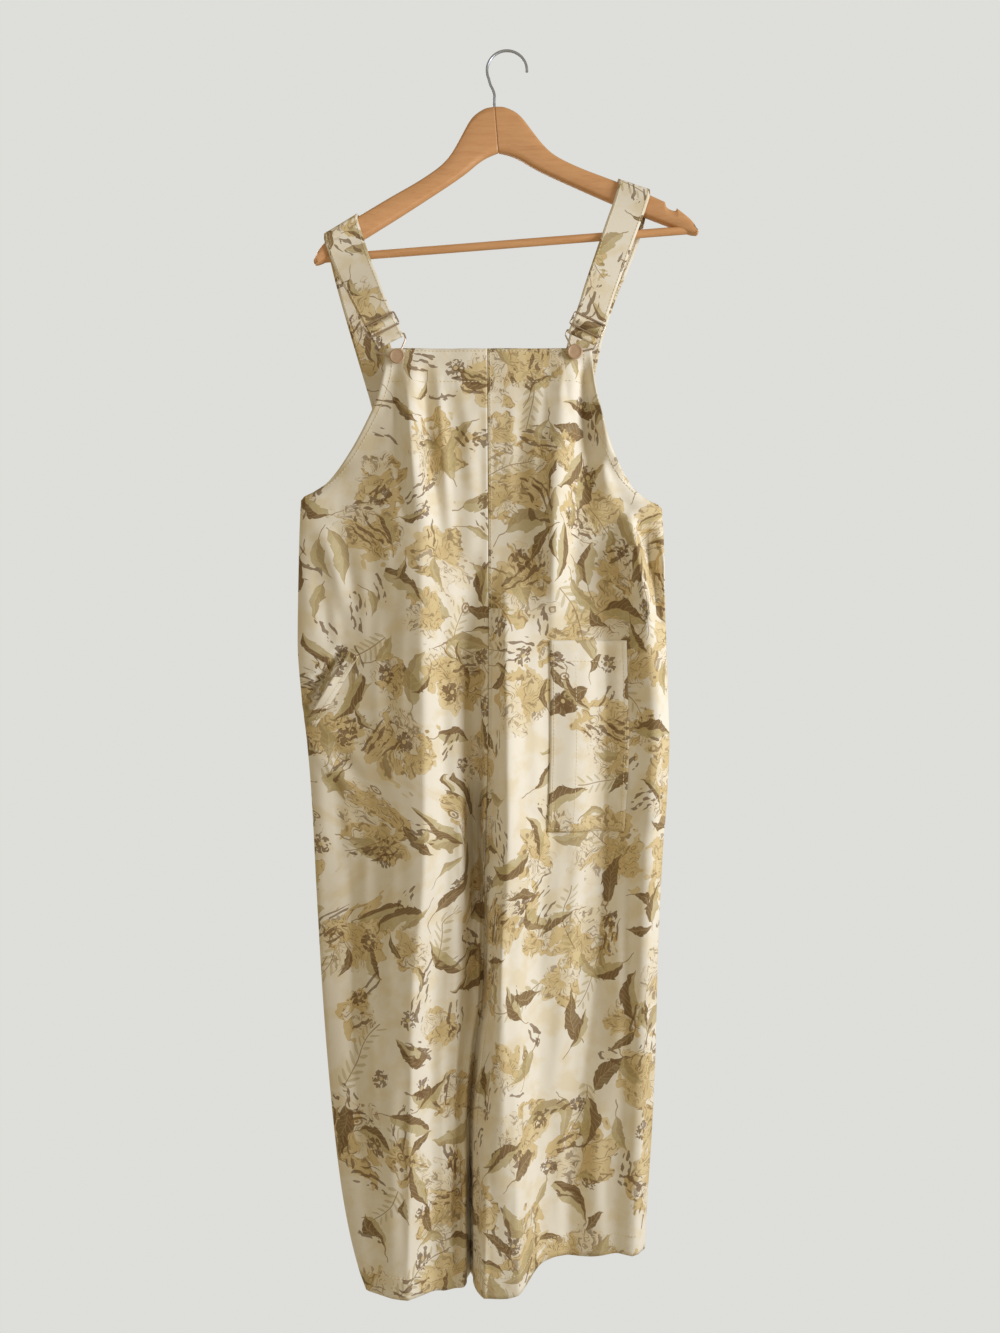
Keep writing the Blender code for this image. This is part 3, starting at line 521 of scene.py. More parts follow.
def turned_edge(front, height, x):
    """Step of the doubled cloth at the top and the hem, puckered along its stitches."""
    top = (BIB_TOP if front else BACK_TOP) - (BIB_HEM if front else BACK_HEM)
    low = HEM + LEG_HEM
    step = 0.6 * ramp(height, top - 1.5, top + 1.5) + 0.6 * ramp(height, low + 1.5, low - 1.5)
    near = min(abs(height - top), abs(height - low)) / 6.0
    if near < 2:
        wave = noise.noise(Vector((x / 5.0, height / 20.0, 3.1)))
        step += 0.7 * wave * math.exp(-near * near)
    return step


def row_point(form, across, detail):
    """Point of a body panel, 0 to 1 across; detail scales the fine relief."""
    side, height, facing = form["side"], form["height"], form["facing"]
    flat, closed = form["flat"], form["closed"]
    share_in = 1.0
    share_out = 1.0
    if across < ROUND_SHARE:
        share = across / ROUND_SHARE
        angle, held = strip_angle(share)
        x = form["x_in"] + side * form["turn_in"] * (flat * share + (1 - flat) * (1 - math.cos(held)))
        x += side * form["gap"] * ramp(across, 0.4 * FIRST_STRIP, FIRST_STRIP) * (1 - share)
        share_in = flat * math.sin(held) ** 2 + (1 - flat) * math.sin(angle)
    elif across > 1 - ROUND_SHARE:
        share = (1 - across) / ROUND_SHARE
        angle, held = strip_angle(share)
        x = form["x_out"] - side * OUTER_ROUND * ((1 - closed) * share + closed * (1 - math.cos(held)))
        share_out = (1 - closed) + closed * math.sin(angle)
    else:
        share = (across - ROUND_SHARE) / (1 - 2 * ROUND_SHARE)
        start = form["x_in"] + side * form["turn_in"]
        end = form["x_out"] - side * OUTER_ROUND
        x = start + (end - start) * share
    rise = 0.0
    for crest, minus, plus, place, amount in form["folds"]:
        off = x - place
        reach = max(0.0, abs(off) - crest) / (plus if off > 0 else minus)
        if reach < 1:
            soft = math.cos(reach * math.pi / 2) ** 2
            rise += amount * (soft + detail * SHARP * ((1 - reach) ** 1.5 - soft))
    level = form["level"]
    y = level + facing * rise
    y_in = form["seam"] + (level - form["seam"]) * flat
    y = y_in + (y - y_in) * share_in
    y = form["y_side"] + (y - form["y_side"]) * share_out
    if detail:
        hold = ramp(across, 0.0, 0.07) * (1 - closed + closed * ramp(1 - across, 0.0, 0.08))
        settings = bpy.context.scene.overalls_twill
        fine = settings.crease * crease_rise(form["front"], x, height)
        seed = 11.3 if form["front"] else 37.9
        slow = noise.noise(Vector((x / 38, height / 120, seed)))
        quick = noise.noise(Vector((x / 13, height / 34, seed + 5)))
        fine += settings.crumple / MM * (1.3 * slow + 0.5 * quick)
        fine += turned_edge(form["front"], height, x)
        y += facing * fine * hold * detail
    z = height + form["lift"] * ramp(across, 0.25, 0.55) + form["end_lift"] * ramp(across, 0.6, 1.0)
    return Vector((x, y, z))


def across_at(form, x):
    """How far across the panel its surface has the given x."""
    low, high = 0.0, 1.0
    for _step in range(26):
        middle = (low + high) / 2
        if (row_point(form, middle, 0).x - x) * form["side"] < 0:
            low = middle
        else:
            high = middle
    return (low + high) / 2


def surface(side, front, x, height, lift=0.0):
    """Point on the dressed cloth at x and height, moved out by lift, and the way out."""
    form = row_form(side, front, height)
    across = across_at(form, x)
    here = row_point(form, across, 1)
    beside = row_point(form, min(1.0, across + 0.01), 1)
    behind = row_point(form, max(0.0, across - 0.01), 1)
    above = row_point(row_form(side, front, height + 3), across, 1)
    out = (beside - behind).cross(above - here).normalized()
    if out.y * form["facing"] < 0:
        out = -out
    return here + out * lift, out


# Making meshes.

def finish_piece(obj, slot, *nodes, body=BODY):
    """Puts a piece on its body, in place of its solids; the slot is not used."""
    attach(obj, body)
    if nodes:
        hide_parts(*nodes)


def add_mesh_object(name, work, materials, smooth=True):
    if not work.faces:
        raise RuntimeError("nothing was made for " + name)
    mesh = bpy.data.meshes.new(name)
    for face in work.faces:
        face.smooth = smooth
    work.to_mesh(mesh)
    work.free()
    obj = bpy.data.objects.new(name, mesh)
    bpy.context.scene.collection.objects.link(obj)
    for mat in materials:
        mesh.materials.append(mat)
    return obj


def formed_grid(columns, rows, place, pattern=None):
    """A grid whose vertex at column, row stands at place(column, row), in millimetres.

    pattern gives each vertex its place on the cloth for the UV map; without
    it the distance along the rows is measured.
    """
    work = bmesh.new()
    bmesh.ops.create_grid(work, x_segments=columns, y_segments=rows, size=0.5)
    layer = work.loops.layers.uv.new("cloth")
    spots = {}
    points = {}
    for vert in work.verts:
        column = round((vert.co.x + 0.5) * columns)
        row = round((0.5 - vert.co.y) * rows)
        spots[vert] = (column, row)
        points[column, row] = place(column, row)
    for vert, spot in spots.items():
        vert.co = points[spot] * MM
    flat = {}
    for row in range(rows + 1):
        run = 0.0
        for column in range(columns + 1):
            if column:
                run += (points[column, row] - points[column - 1, row]).length
            flat[column, row] = (run, points[column, row].z)
    for face in work.faces:
        for loop in face.loops:
            spot = spots[loop.vert]
            u, v = pattern(*spot) if pattern else flat[spot]
            loop[layer].uv = (u * MM, v * MM)
    return work


def move_pattern(work, u_scale, u_move, v_move):
    """Moves the print along a sheet, in metres; a u_scale of -1 runs it the other way."""
    layer = work.loops.layers.uv.active
    for face in work.faces:
        for loop in face.loops:
            u, v = loop[layer].uv
            loop[layer].uv = (u_scale * u + u_move, v + v_move)


def face_towards(work, y_sign):
    """Turns an open sheet so that most of it faces the given way along Y."""
    work.normal_update()
    total = sum(face.normal.y * face.calc_area() for face in work.faces)
    if total * y_sign < 0:
        bmesh.ops.reverse_faces(work, faces=work.faces)


def thicken(obj, thickness, outward, second):
    shell = obj.modifiers.new("cloth thickness", "SOLIDIFY")
    shell.thickness = thickness
    shell.offset = outward
    shell.material_offset = 1 if second else 0


def formed_tube(columns, rows, place):
    """A closed tube whose rings are rows; both ends are filled."""
    work = formed_grid(columns, rows, place)
    bmesh.ops.remove_doubles(work, verts=work.verts, dist=1e-6)
    rim = [edge for edge in work.edges if edge.is_boundary]
    bmesh.ops.holes_fill(work, edges=rim, sides=0)
    bmesh.ops.recalc_face_normals(work, faces=work.faces)
    return work


def add_wire(name, lines, radius, material, sides=5):
    """Round wire along one or more lines of points; a line is (points, closed)."""
    curve = bpy.data.curves.new(name, "CURVE")
    curve.dimensions = "3D"
    curve.bevel_depth = radius
    curve.bevel_resolution = sides
    curve.use_fill_caps = True
    for points, closed in lines:
        line = curve.splines.new("POLY")
        line.points.add(len(points) - 1)
        for spot, point in zip(line.points, points):
            spot.co = (point[0] * MM, point[1] * MM, point[2] * MM, 1.0)
        line.use_cyclic_u = closed
        line.use_smooth = True
    curve.materials.append(material)
    obj = bpy.data.objects.new(name, curve)
    bpy.context.scene.collection.objects.link(obj)
    return obj


def smooth_line(rows, steps):
    """Catmull-Rom line through rows of numbers, steps points to a gap."""
    line = []
    last = len(rows) - 1
    for at in range(last):
        a = rows[max(at - 1, 0)]
        b, c = rows[at], rows[at + 1]
        d = rows[min(at + 2, last)]
        for step in range(steps):
            t = step / steps
            line.append(tuple(
                0.5 * (2 * q + (r - p) * t + (2 * p - 5 * q + 4 * r - s) * t * t
                       + (3 * q - p - 3 * r + s) * t ** 3)
                for p, q, r, s in zip(a, b, c, d)))
    line.append(tuple(rows[last]))
    return line


def add_stitches(name, lines, material, pitch=4.4, length=3.0, radius=0.42):
    """Short lengths of thread along lines of (point, way out)."""
    work = bmesh.new()
    for line in lines:
        since = pitch / 2
        for (start, out), (end, _way) in zip(line, line[1:]):
            run = (end - start).length
            if run < 1e-6:
                continue
            way = (end - start) / run
            while since <= run:
                spot = start + way * since
                side = way.cross(out).normalized()
                turn = Matrix((side, out, way)).transposed().to_4x4()
                turn.translation = spot * MM
                bmesh.ops.create_cone(
                    work, cap_ends=True, segments=6, radius1=radius * MM, radius2=radius * 0.7 * MM,
                    depth=length * MM, matrix=turn)
                since += pitch
            since -= run
    return add_mesh_object(name, work, [material])


# Materials.

def add_node(tree, made, name, kind, *inputs, **settings):
    """Adds one node with its settings and links.

    kind is the node's class without ShaderNode, then its operation after a
    dot where it has one. An input is a value, an earlier node's name, that
    name and an output's name joined by a colon, None to leave the socket, or
    a (socket name, input) pair.
    """
    sort, _dot, operation = kind.partition(".")
    node = tree.nodes.new(("" if sort.startswith("Node") else "ShaderNode") + sort)
    if operation:
        node.operation = operation
    for key, value in settings.items():
        setattr(node, key, value)
    for index, value in enumerate(inputs):
        socket = node.inputs[index]
        if isinstance(value, tuple) and len(value) == 2 and isinstance(value[0], str):
            socket, value = node.inputs[value[0]], value[1]
        if value is None:
            continue
        if isinstance(value, str):
            source, _colon, output = value.partition(":")
            outputs = made[source].outputs
            tree.links.new(outputs[output] if output else outputs[0], socket)
        else:
            socket.default_value = value
    made[name] = node
    return node


def new_group(name, takes, gives):
    """An empty node group and its adder of nodes: takes and gives are (name, kind) rows."""
    tree = bpy.data.node_groups.new(name, "ShaderNodeTree")
    for label, kind in takes:
        tree.interface.new_socket(label, in_out="INPUT", socket_type="NodeSocket" + kind)
    for label, kind in gives:
        tree.interface.new_socket(label, in_out="OUTPUT", socket_type="NodeSocket" + kind)
    add = partial(add_node, tree, {})
    add("in", "NodeGroupInput")
    return tree, add


def new_material(name):
    """An empty material and its adder of nodes."""
    mat = bpy.data.materials.new(name)
    mat.use_nodes = True
    mat.node_tree.nodes.clear()
    return mat, partial(add_node, mat.node_tree, {})


def cell_group():
    """Deals the cloth into cells and gives each its own turned, shifted middle.

    Local's depth differs from cell to cell, so that noise draws no two motifs alike.
    """
    tree, n = new_group(
        "print cell", [("Place", "Vector"), ("Size", "Float"), ("Turn", "Float"), ("Seed", "Float"),
                       ("Jitter", "Float")],
        [("Local", "Vector"), ("Chance", "Float"), ("Tint", "Float")])
    n("turned", "VectorRotate", "in:Place", None, None, "in:Turn", rotation_type="Z_AXIS")
    n("inverse", "Math.DIVIDE", 1.0, "in:Size")
    n("scaled", "VectorMath.SCALE", "turned", ("Scale", "inverse"))
    n("seed x", "Math.MULTIPLY", "in:Seed", 7.13)
    n("seed y", "Math.MULTIPLY", "in:Seed", 3.71)
    n("seed place", "CombineXYZ", "seed x", "seed y", 0.0)
    n("moved", "VectorMath.ADD", "scaled", "seed place")
    n("parts", "SeparateXYZ", "moved")
    n("row", "Math.FLOOR", "parts:Y")
    n("odd", "Math.FLOORED_MODULO", "row", 2.0)
    n("half", "Math.MULTIPLY", "odd", 0.5)
    n("brick x", "Math.ADD", "parts:X", "half")
    n("brick", "CombineXYZ", "brick x", "parts:Y", 0.0)
    n("cell", "VectorMath.FLOOR", "brick")
    n("within", "VectorMath.FRACTION", "brick")
    n("seed z", "CombineXYZ", 0.0, 0.0, "in:Seed")
    n("key", "VectorMath.ADD", "cell", "seed z")
    n("dice", "TexWhiteNoise", "key", noise_dimensions="3D")
    n("middle", "VectorMath.SUBTRACT", "within", (0.5, 0.5, 0.0))
    n("spread", "VectorMath.SUBTRACT", "dice:Color", (0.5, 0.5, 0.5))
    n("jitter", "VectorMath.SCALE", "spread", ("Scale", "in:Jitter"))
    n("shifted", "VectorMath.SUBTRACT", "middle", "jitter")
    n("real", "VectorMath.SCALE", "shifted", ("Scale", "in:Size"))
    n("flat", "VectorMath.MULTIPLY", "real", (1.0, 1.0, 0.0))
    n("angle", "Math.MULTIPLY", "dice:Value", 6.2832)
    n("local", "VectorRotate", "flat", None, None, "angle", rotation_type="Z_AXIS")
    n("own", "Math.MULTIPLY", "dice:Value", 400.0)
    n("own depth", "CombineXYZ", 0.0, 0.0, "own")
    n("placed", "VectorMath.ADD", "local", "own depth")
    n("dice parts", "SeparateXYZ", "dice:Color")
    n("tint big", "Math.MULTIPLY", "dice:Value", 37.7)
    n("tint", "Math.FRACT", "tint big")
    n("out", "NodeGroupOutput", "placed", "dice parts:Z", "tint")
    return tree


def bloom_group():
    """A full rose-like bloom in three rings of petals: wash, shade, drawn line and brush strokes."""
    tree, n = new_group(
        "bloom", [("Local", "Vector"), ("Radius", "Float")],
        [("Wash", "Float"), ("Shade", "Float"), ("Line", "Float"), ("Brush", "Float")])
    n("rough", "TexNoise", "in:Local", ("Scale", 0.1), ("Detail", 1.0))
    n("rough off", "VectorMath.SUBTRACT", "rough:Color", (0.5, 0.5, 0.5))
    n("rough mm", "VectorMath.SCALE", "rough off", ("Scale", 10.0))
    n("local raw", "VectorMath.ADD", "in:Local", "rough mm")
    n("local", "VectorMath.MULTIPLY", "local raw", (1.0, 1.0, 0.0))
    n("wander", "TexNoise", "in:Local", ("Scale", 0.045), ("Detail", 2.0))
    n("wander off", "Math.SUBTRACT", "wander:Fac", 0.5)
    n("wander share", "Math.MULTIPLY_ADD", "wander off", 1.5, 1.0)
    n("length", "VectorMath.LENGTH", "local")
    n("r raw", "Math.DIVIDE", "length:Value", "in:Radius")
    n("r", "Math.MULTIPLY", "r raw", "wander share")
    n("xy", "SeparateXYZ", "local")
    n("theta", "Math.ARCTAN2", "xy:Y", "xy:X")
    n("theta w", "Math.MULTIPLY_ADD", "wander off", 2.2, "theta")
    rings = (("outer", 3.5, 1.0, 0.66, 0.34), ("middle", 2.5, 0.4, 0.42, 0.26),
             ("heart", 2.0, 2.0, 0.2, 0.16))
    for ring, petals, start, base, lobe in rings:
        n(ring + " turn", "Math.MULTIPLY_ADD", "theta w", petals, start)
        n(ring + " wave", "Math.SINE", ring + " turn")
        n(ring + " abs", "Math.ABSOLUTE", ring + " wave")
        n(ring + " round", "Math.POWER", ring + " abs", 0.55)
        n(ring + " edge", "Math.MULTIPLY_ADD", ring + " round", lobe, base)
        n(ring + " past", "Math.SUBTRACT", "r", ring + " edge")
        n(ring + " near", "Math.ABSOLUTE", ring + " past")
        n(ring + " line", "Math.LESS_THAN", ring + " near", 0.02)
        n(ring + " in", "Math.LESS_THAN", ring + " past", 0.0)
        n(ring + " count", "Math.DIVIDE", ring + " turn", math.pi)
        n(ring + " number", "Math.FLOOR", ring + " count")
        n(ring + " key", "Math.MULTIPLY_ADD", ring + " number", 1.7, start * 9.1)
        n(ring + " tone", "TexWhiteNoise", ("W", ring + " key"), noise_dimensions="1D")
    n("whole", "Math.LESS_THAN", "outer past", 0.0)
    n("foot a", "MapRange", "middle past", -0.02, 0.24, 1.0, 0.0)
    n("foot a on", "Math.GREATER_THAN", "middle past", 0.0)
    n("foot b", "MapRange", "heart past", -0.02, 0.2, 1.0, 0.0)
    n("foot b on", "Math.GREATER_THAN", "heart past", 0.0)
    n("shade a", "Math.MULTIPLY", "foot a", "foot a on")
    n("shade b", "Math.MULTIPLY", "foot b", "foot b on")
    n("shade c", "Math.LESS_THAN", "heart past", -0.06)
    n("shade ab", "Math.MAXIMUM", "shade a", "shade b")
    n("foot", "Math.MAXIMUM", "shade ab", "shade c")
    n("tone a", "Mix", "middle in", ("A", "outer tone:Value"), ("B", "middle tone:Value"))
    n("tone b", "Mix", "heart in", ("A", "tone a:Result"), ("B", "heart tone:Value"))
    n("tone pick", "MapRange", "tone b:Result", 0.35, 0.75, 0.0, 0.8)
    n("petal on", "MapRange", "tone b:Result", 0.2, 0.45, 0.25, 1.0)
    n("wash", "Math.MULTIPLY", "whole", "petal on")
    n("shade", "Math.MAXIMUM", "foot", "tone pick")
    n("spokes", "Math.MULTIPLY", "theta w", 26.0)
    n("spoke wave", "Math.SINE", "spokes")
    n("spoke line", "Math.GREATER_THAN", "spoke wave", 0.7)
    n("spoke on", "Math.GREATER_THAN", "shade ab", 0.3)
    n("spoke", "Math.MULTIPLY", "spoke line", "spoke on")
    n("line ab", "Math.MAXIMUM", "outer line", "middle line")
    n("line abc", "Math.MAXIMUM", "line ab", "heart line")
    n("worn", "TexNoise", "in:Local", ("Scale", 0.11), ("Detail", 1.0))
    n("worn on", "Math.GREATER_THAN", "worn:Fac", 0.52)
    n("drawn", "Math.MULTIPLY", "line abc", "worn on")
    n("drawn soft", "Math.MULTIPLY", "drawn", 0.5)
    n("line", "Math.MAXIMUM", "drawn soft", "spoke")
    n("polar x", "Math.MULTIPLY", "theta w", 4.5)
    n("polar y", "Math.MULTIPLY", "r", 2.4)
    n("depth", "SeparateXYZ", "in:Local")
    n("polar", "CombineXYZ", "polar x", "polar y", "depth:Z")
    n("bristle", "TexNoise", "polar", ("Scale", 1.0), ("Detail", 2.0))
    n("bristle on", "Math.GREATER_THAN", "bristle:Fac", 0.6)
    n("brush", "Math.MULTIPLY", "bristle on", "whole")
    n("out", "NodeGroupOutput", "wash", "shade", "line", "brush")
    return tree


def leaf_group():
    """A toothed, curving leaf on its stalk: mask, which half, and veins."""
    tree, n = new_group(
        "leaf", [("Local", "Vector"), ("Length", "Float"), ("Width", "Float"), ("Bend", "Float")],
        [("Mask", "Float"), ("Half", "Float"), ("Vein", "Float"), ("Stalk", "Float")])
    n("rough", "TexNoise", "in:Local", ("Scale", 0.07), ("Detail", 1.0))
    n("rough off", "VectorMath.SUBTRACT", "rough:Color", (0.5, 0.5, 0.5))
    n("rough mm", "VectorMath.SCALE", "rough off", ("Scale", 10.0))
    n("place", "VectorMath.ADD", "in:Local", "rough mm")
    n("xy", "SeparateXYZ", "place")
    n("t raw", "Math.DIVIDE", "xy:X", "in:Length")
    n("bow", "Math.MULTIPLY", "t raw", "t raw")
    n("bow mm", "Math.MULTIPLY", "bow", "in:Bend")
    n("y", "Math.ADD", "xy:Y", "bow mm")
    n("t", "Math.ADD", "t raw", 0.5)
    n("t safe", "Math.ADD", "t", 0.0, use_clamp=True)
    n("t skew", "Math.POWER", "t safe", 0.75)
    n("t pi", "Math.MULTIPLY", "t skew", 3.1416)
    n("swell", "Math.SINE", "t pi")
    n("teeth run", "Math.MULTIPLY", "t", 3.2)
    n("teeth", "Math.FRACT", "teeth run")
    n("teeth cut", "Math.MULTIPLY_ADD", "teeth", -0.2, 1.0)
    n("half width", "Math.MULTIPLY", "in:Width", 0.5)
    n("wide", "Math.MULTIPLY", "swell", "half width")
    n("edge", "Math.MULTIPLY", "wide", "teeth cut")
    n("y abs", "Math.ABSOLUTE", "y")
    n("mask", "Math.LESS_THAN", "y abs", "edge")
    n("half", "Math.GREATER_THAN", "y", 0.0)
    n("rib", "Math.LESS_THAN", "y abs", 0.55)
    n("vein lean", "Math.MULTIPLY_ADD", "y abs", -1.1, "xy:X")
    n("vein run", "Math.MULTIPLY", "vein lean", 0.16)
    n("vein part", "Math.FRACT", "vein run")
    n("vein line", "Math.LESS_THAN", "vein part", 0.14)
    n("vein any", "Math.MAXIMUM", "rib", "vein line")
    n("vein", "Math.MULTIPLY", "vein any", "mask")
    n("stalk thin", "Math.LESS_THAN", "y abs", 0.7)
    n("stalk low", "Math.GREATER_THAN", "t raw", -0.85)
    n("stalk high", "Math.LESS_THAN", "t raw", -0.48)
    n("stalk span", "Math.MULTIPLY", "stalk low", "stalk high")
    n("stalk", "Math.MULTIPLY", "stalk thin", "stalk span")
    n("out", "NodeGroupOutput", "mask", "half", "vein", "stalk")
    return tree


def sprig_group():
    """A drawn stem with paired leaflets along it."""
    tree, n = new_group(
        "sprig", [("Local", "Vector"), ("Length", "Float")], [("Stem", "Float"), ("Leaflet", "Float")])
    n("xy", "SeparateXYZ", "in:Local")
    n("t", "Math.DIVIDE", "xy:X", "in:Length")
    n("bow", "Math.MULTIPLY", "t", "t")
    n("bow mm", "Math.MULTIPLY", "bow", 26.0)
    n("y", "Math.ADD", "xy:Y", "bow mm")
    n("y abs", "Math.ABSOLUTE", "y")
    n("t abs", "Math.ABSOLUTE", "t")
    n("within", "Math.LESS_THAN", "t abs", 0.5)
    n("thin", "Math.LESS_THAN", "y abs", 0.62)
    n("stem", "Math.MULTIPLY", "thin", "within")
    n("lean", "Math.MULTIPLY_ADD", "y abs", -0.8, "xy:X")
    n("pairs", "Math.DIVIDE", "lean", 9.5)
    n("pair part", "Math.FRACT", "pairs")
    n("pair off", "Math.SUBTRACT", "pair part", 0.5)
    n("pair mm", "Math.MULTIPLY", "pair off", 9.5)
    n("out off", "Math.SUBTRACT", "y abs", 6.0)
    n("out part", "Math.MULTIPLY", "out off", 0.42)
    n("a", "Math.POWER", "pair mm", 2.0)
    n("b", "Math.POWER", "out part", 2.0)
    n("sum", "Math.ADD", "a", "b")
    n("taper", "MapRange", "t", -0.5, 0.5, 6.5, 2.2)
    n("leaf in", "Math.LESS_THAN", "sum", "taper")
    n("leaflet", "Math.MULTIPLY", "leaf in", "within")
    n("out", "NodeGroupOutput", "stem", "leaflet")
    return tree


def strokes_group():
    """A patch of quick brush strokes, all leaning one way."""
    tree, n = new_group("strokes", [("Local", "Vector"), ("Radius", "Float")], [("Stroke", "Float")])
    n("rough", "TexNoise", "in:Local", ("Scale", 0.06), ("Detail", 1.0))
    n("rough off", "Math.SUBTRACT", "rough:Fac", 0.5)
    n("xy", "SeparateXYZ", "in:Local")
    n("sway", "Math.MULTIPLY_ADD", "rough off", 20.0, "xy:Y")
    n("run", "Math.MULTIPLY", "sway", 0.62)
    n("wave", "Math.SINE", "run")
    n("long", "VectorMath.MULTIPLY", "in:Local", (0.09, 0.22, 1.0))
    n("press", "TexNoise", "long", ("Scale", 1.0), ("Detail", 1.0))
    n("thin", "MapRange", "press:Fac", 0.4, 0.62, 1.2, -0.1)
    n("drawn", "Math.GREATER_THAN", "wave", "thin")
    n("squeeze", "VectorMath.MULTIPLY", "in:Local", (0.75, 1.5, 0.0))
    n("length", "VectorMath.LENGTH", "squeeze")
    n("frayed", "Math.MULTIPLY_ADD", "rough off", 18.0, "length:Value")
    n("within", "Math.LESS_THAN", "frayed", "in:Radius")
    n("stroke", "Math.MULTIPLY", "drawn", "within")
    n("out", "NodeGroupOutput", "stroke")
    return tree


def blossom_group():
    """A small five-petalled flower with a pale eye."""
    tree, n = new_group(
        "blossom", [("Local", "Vector"), ("Radius", "Float")], [("Petal", "Float"), ("Eye", "Float")])
    n("rough", "TexNoise", "in:Local", ("Scale", 0.16), ("Detail", 1.0))
    n("rough off", "Math.SUBTRACT", "rough:Fac", 0.5)
    n("flat", "VectorMath.MULTIPLY", "in:Local", (1.0, 1.0, 0.0))
    n("length", "VectorMath.LENGTH", "flat")
    n("xy", "SeparateXYZ", "in:Local")
    n("theta", "Math.ARCTAN2", "xy:Y", "xy:X")
    n("turn", "Math.MULTIPLY_ADD", "rough off", 2.8, "theta")
    n("five", "Math.MULTIPLY", "turn", 2.5)
    n("wave", "Math.COSINE", "five")
    n("lobe", "Math.ABSOLUTE", "wave")
    n("lobe round", "Math.POWER", "lobe", 0.7)
    n("edge share", "Math.MULTIPLY_ADD", "lobe round", 0.75, 0.25)
    n("edge", "Math.MULTIPLY", "edge share", "in:Radius")
    n("whole", "Math.LESS_THAN", "length:Value", "edge")
    n("brush", "TexNoise", "in:Local", ("Scale", 0.17), ("Detail", 2.0))
    n("inked", "Math.GREATER_THAN", "brush:Fac", 0.41)
    n("petal", "Math.MULTIPLY", "whole", "inked")
    n("eye size", "Math.MULTIPLY", "in:Radius", 0.2)
    n("eye", "Math.LESS_THAN", "length:Value", "eye size")
    n("out", "NodeGroupOutput", "petal", "eye")
    return tree


def seed_group():
    """A small ringed seed head."""
    tree, n = new_group("seed head", [("Local", "Vector"), ("Radius", "Float")], [("Ring", "Float")])
    n("flat", "VectorMath.MULTIPLY", "in:Local", (1.0, 1.0, 0.0))
    n("length", "VectorMath.LENGTH", "flat")
    n("share", "Math.DIVIDE", "length:Value", "in:Radius")
    n("from ring", "Math.SUBTRACT", "share", 0.8)
    n("near ring", "Math.ABSOLUTE", "from ring")
    n("rim", "Math.LESS_THAN", "near ring", 0.17)
    n("dot", "Math.LESS_THAN", "share", 0.3)
    n("ring", "Math.MAXIMUM", "rim", "dot")
    n("out", "NodeGroupOutput", "ring")
    return tree


# Layers of the print, lowest first: motif, cell size, turn of the lattice,
# seed, jitter, share of cells that are filled, and the motif's own sizes.
PRINT_LAYERS = [
    ("bloom", 112.0, 0.35, 1.0, 0.2, 0.8, (43.0,)),
    ("sprig", 96.0, 0.9, 2.0, 0.3, 0.3, (84.0,)),
    ("leaf", 80.0, 2.9, 11.0, 0.45, 0.5, (50.0, 22.0, 20.0)),
    ("bloom", 88.0, 1.2, 3.0, 0.3, 0.62, (27.0,)),
    ("strokes", 72.0, 0.5, 12.0, 0.4, 0.42, (20.0,)),
    ("leaf", 80.0, 0.6, 4.0, 0.35, 0.54, (62.0, 23.0, 28.0)),
    ("sprig", 90.0, 2.1, 5.0, 0.3, 0.24, (62.0,)),
    ("leaf", 70.0, 1.7, 6.0, 0.4, 0.46, (44.0, 15.0, -22.0)),
    ("blossom", 72.0, 0.2, 7.0, 0.5, 0.4, (12.0,)),
    ("strokes", 56.0, 1.9, 13.0, 0.5, 0.36, (13.0,)),
    ("leaf", 54.0, 2.6, 8.0, 0.4, 0.34, (31.0, 11.0, 18.0)),
    ("seed head", 84.0, 1.1, 9.0, 0.6, 0.16, (5.5,)),
]


# Inks laid for each motif, in order: mask, tint, strength.
PRINT_INKS = {
    "bloom": (("Wash", "petal", 0.92), ("Inner", "deep", 0.72), ("Brush", "umber", 0.6),
              ("Line", "stem", 0.6)),
    "leaf": (("Mask", "olive", 0.86), ("Shaded", "stem", 0.4), ("Dark", "umber", 0.86),
             ("Vein", "petal", 0.3), ("Stalk", "stem", 0.85)),
    "sprig": (("Leaflet", "olive", 0.62), ("Stem", "stem", 0.8)),
    "blossom": (("Petal", "umber", 0.86), ("Eye", "petal", 0.9)),
    "strokes": (("Stroke", "umber", 0.84),),
    "seed head": (("Ring", "stem", 0.85),),
}


